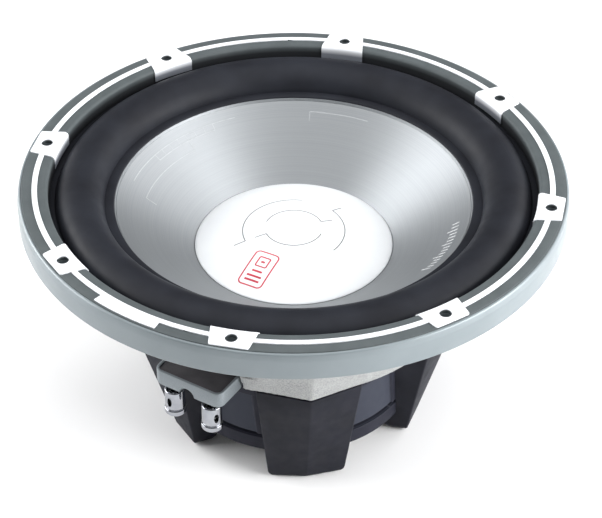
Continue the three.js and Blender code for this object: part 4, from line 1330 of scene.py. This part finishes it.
# ---- studio ----
CAMERA_DISTANCE = 1.1115         # from the middle of the rim's top plane
CAMERA_ELEVATION = 35.57
CAMERA_PAN = 0.27                # the camera's axis is turned this far from that middle
CAMERA_TILT = 2.48
CAMERA_ROLL = -0.08
CAMERA_LENS = 115.8              # on a 36 mm sensor

FLOOR_GAP = 0.0002               # keeps the floor clear of the feet
SOFTBOXES = (
    # name, azimuth, elevation, distance, width and height, watts
    ("top_box", 0, 86, 1.5, (2.0, 2.0), 19),
    ("back_box", -135, 35, 1.8, (1.2, 1.2), 3),
    ("left_box", -104, 19, 1.6, (1.6, 1.2), 46),
    ("right_box", 71, 17, 1.6, (1.2, 1.2), 54),
    ("right_back_box", 122, 26, 1.6, (1.2, 1.2), 13),
)


def make_camera():
    data = bpy.data.cameras.new("camera")
    data.lens = CAMERA_LENS
    data.sensor_width = 36
    data.clip_start, data.clip_end = 0.05, 20
    camera = add_object("camera", data)
    elevation = math.radians(CAMERA_ELEVATION)
    towards = Vector((0, math.cos(elevation), -math.sin(elevation)))
    camera.location = Vector((0, 0, GASKET_TOP * MM)) - towards * CAMERA_DISTANCE
    pan, down = math.radians(CAMERA_PAN), math.radians(CAMERA_ELEVATION + CAMERA_TILT)
    axis = Vector((math.sin(pan) * math.cos(down), math.cos(pan) * math.cos(down), -math.sin(down)))
    camera.rotation_mode = "QUATERNION"
    roll = Matrix.Rotation(math.radians(CAMERA_ROLL), 3, axis).to_quaternion()
    camera.rotation_quaternion = roll @ axis.to_track_quat("-Z", "Y")
    SCENE.camera = camera


def make_floor():
    s = Surface("floor_paper", Specular_IOR_Level=0.2)
    s.tint(srgb(238, 238, 239), srgb(244, 244, 244), s.spread(s.noise(300)))
    s.gloss(s.noise(40), 0.85, 0.95)
    size = 6.0
    mesh = bpy.data.meshes.new("floor")
    mesh.from_pydata(rect(-size, size, -size, size, 0), [], [(0, 1, 2, 3)])
    mesh.materials.append(s.material)
    floor = add_object("floor", mesh)
    floor.location.z = cad_box[0].z - FLOOR_GAP


def area_light(name, azimuth, elevation, distance, size, watts):
    """A softbox that faces the driver; azimuth 0 is in front, 90 on the right."""
    data = bpy.data.lights.new(name, "AREA")
    data.shape = "RECTANGLE"
    data.size, data.size_y = size
    data.energy = watts
    light = add_object(name, data)
    a, e = math.radians(azimuth), math.radians(elevation)
    outwards = Vector((math.sin(a) * math.cos(e), -math.cos(a) * math.cos(e), math.sin(e)))
    light.location = Vector((0, 0, 0.12)) + outwards * distance
    light.rotation_mode = "QUATERNION"
    light.rotation_quaternion = (-outwards).to_track_quat("-Z", "Y")


def make_lights():
    world = bpy.data.worlds.new("studio")
    world.use_nodes = True
    world.node_tree.nodes["Background"].inputs["Color"].default_value = (0.95, 0.97, 1.0, 1)
    world.node_tree.nodes["Background"].inputs["Strength"].default_value = 0.08
    SCENE.world = world
    for softbox in SOFTBOXES:
        area_light(*softbox)
    SCENE.view_settings.view_transform = "Standard"


make_camera()
make_floor()
make_lights()
make_trim()
make_gasket()
make_inlay()
make_surround()
make_cone()
make_dust_cap()
make_prints()
make_coil()
make_spider()
make_motor()
make_hub_screws()
make_basket()
make_drum()
for index, leg_degrees in enumerate(LEG_DEGREES):
    make_leg(index, leg_degrees)
make_shell()
make_post(1, -POST_HALF_SPAN)
make_post(2, POST_HALF_SPAN)
make_lead(1, -13)
make_lead(2, -3)
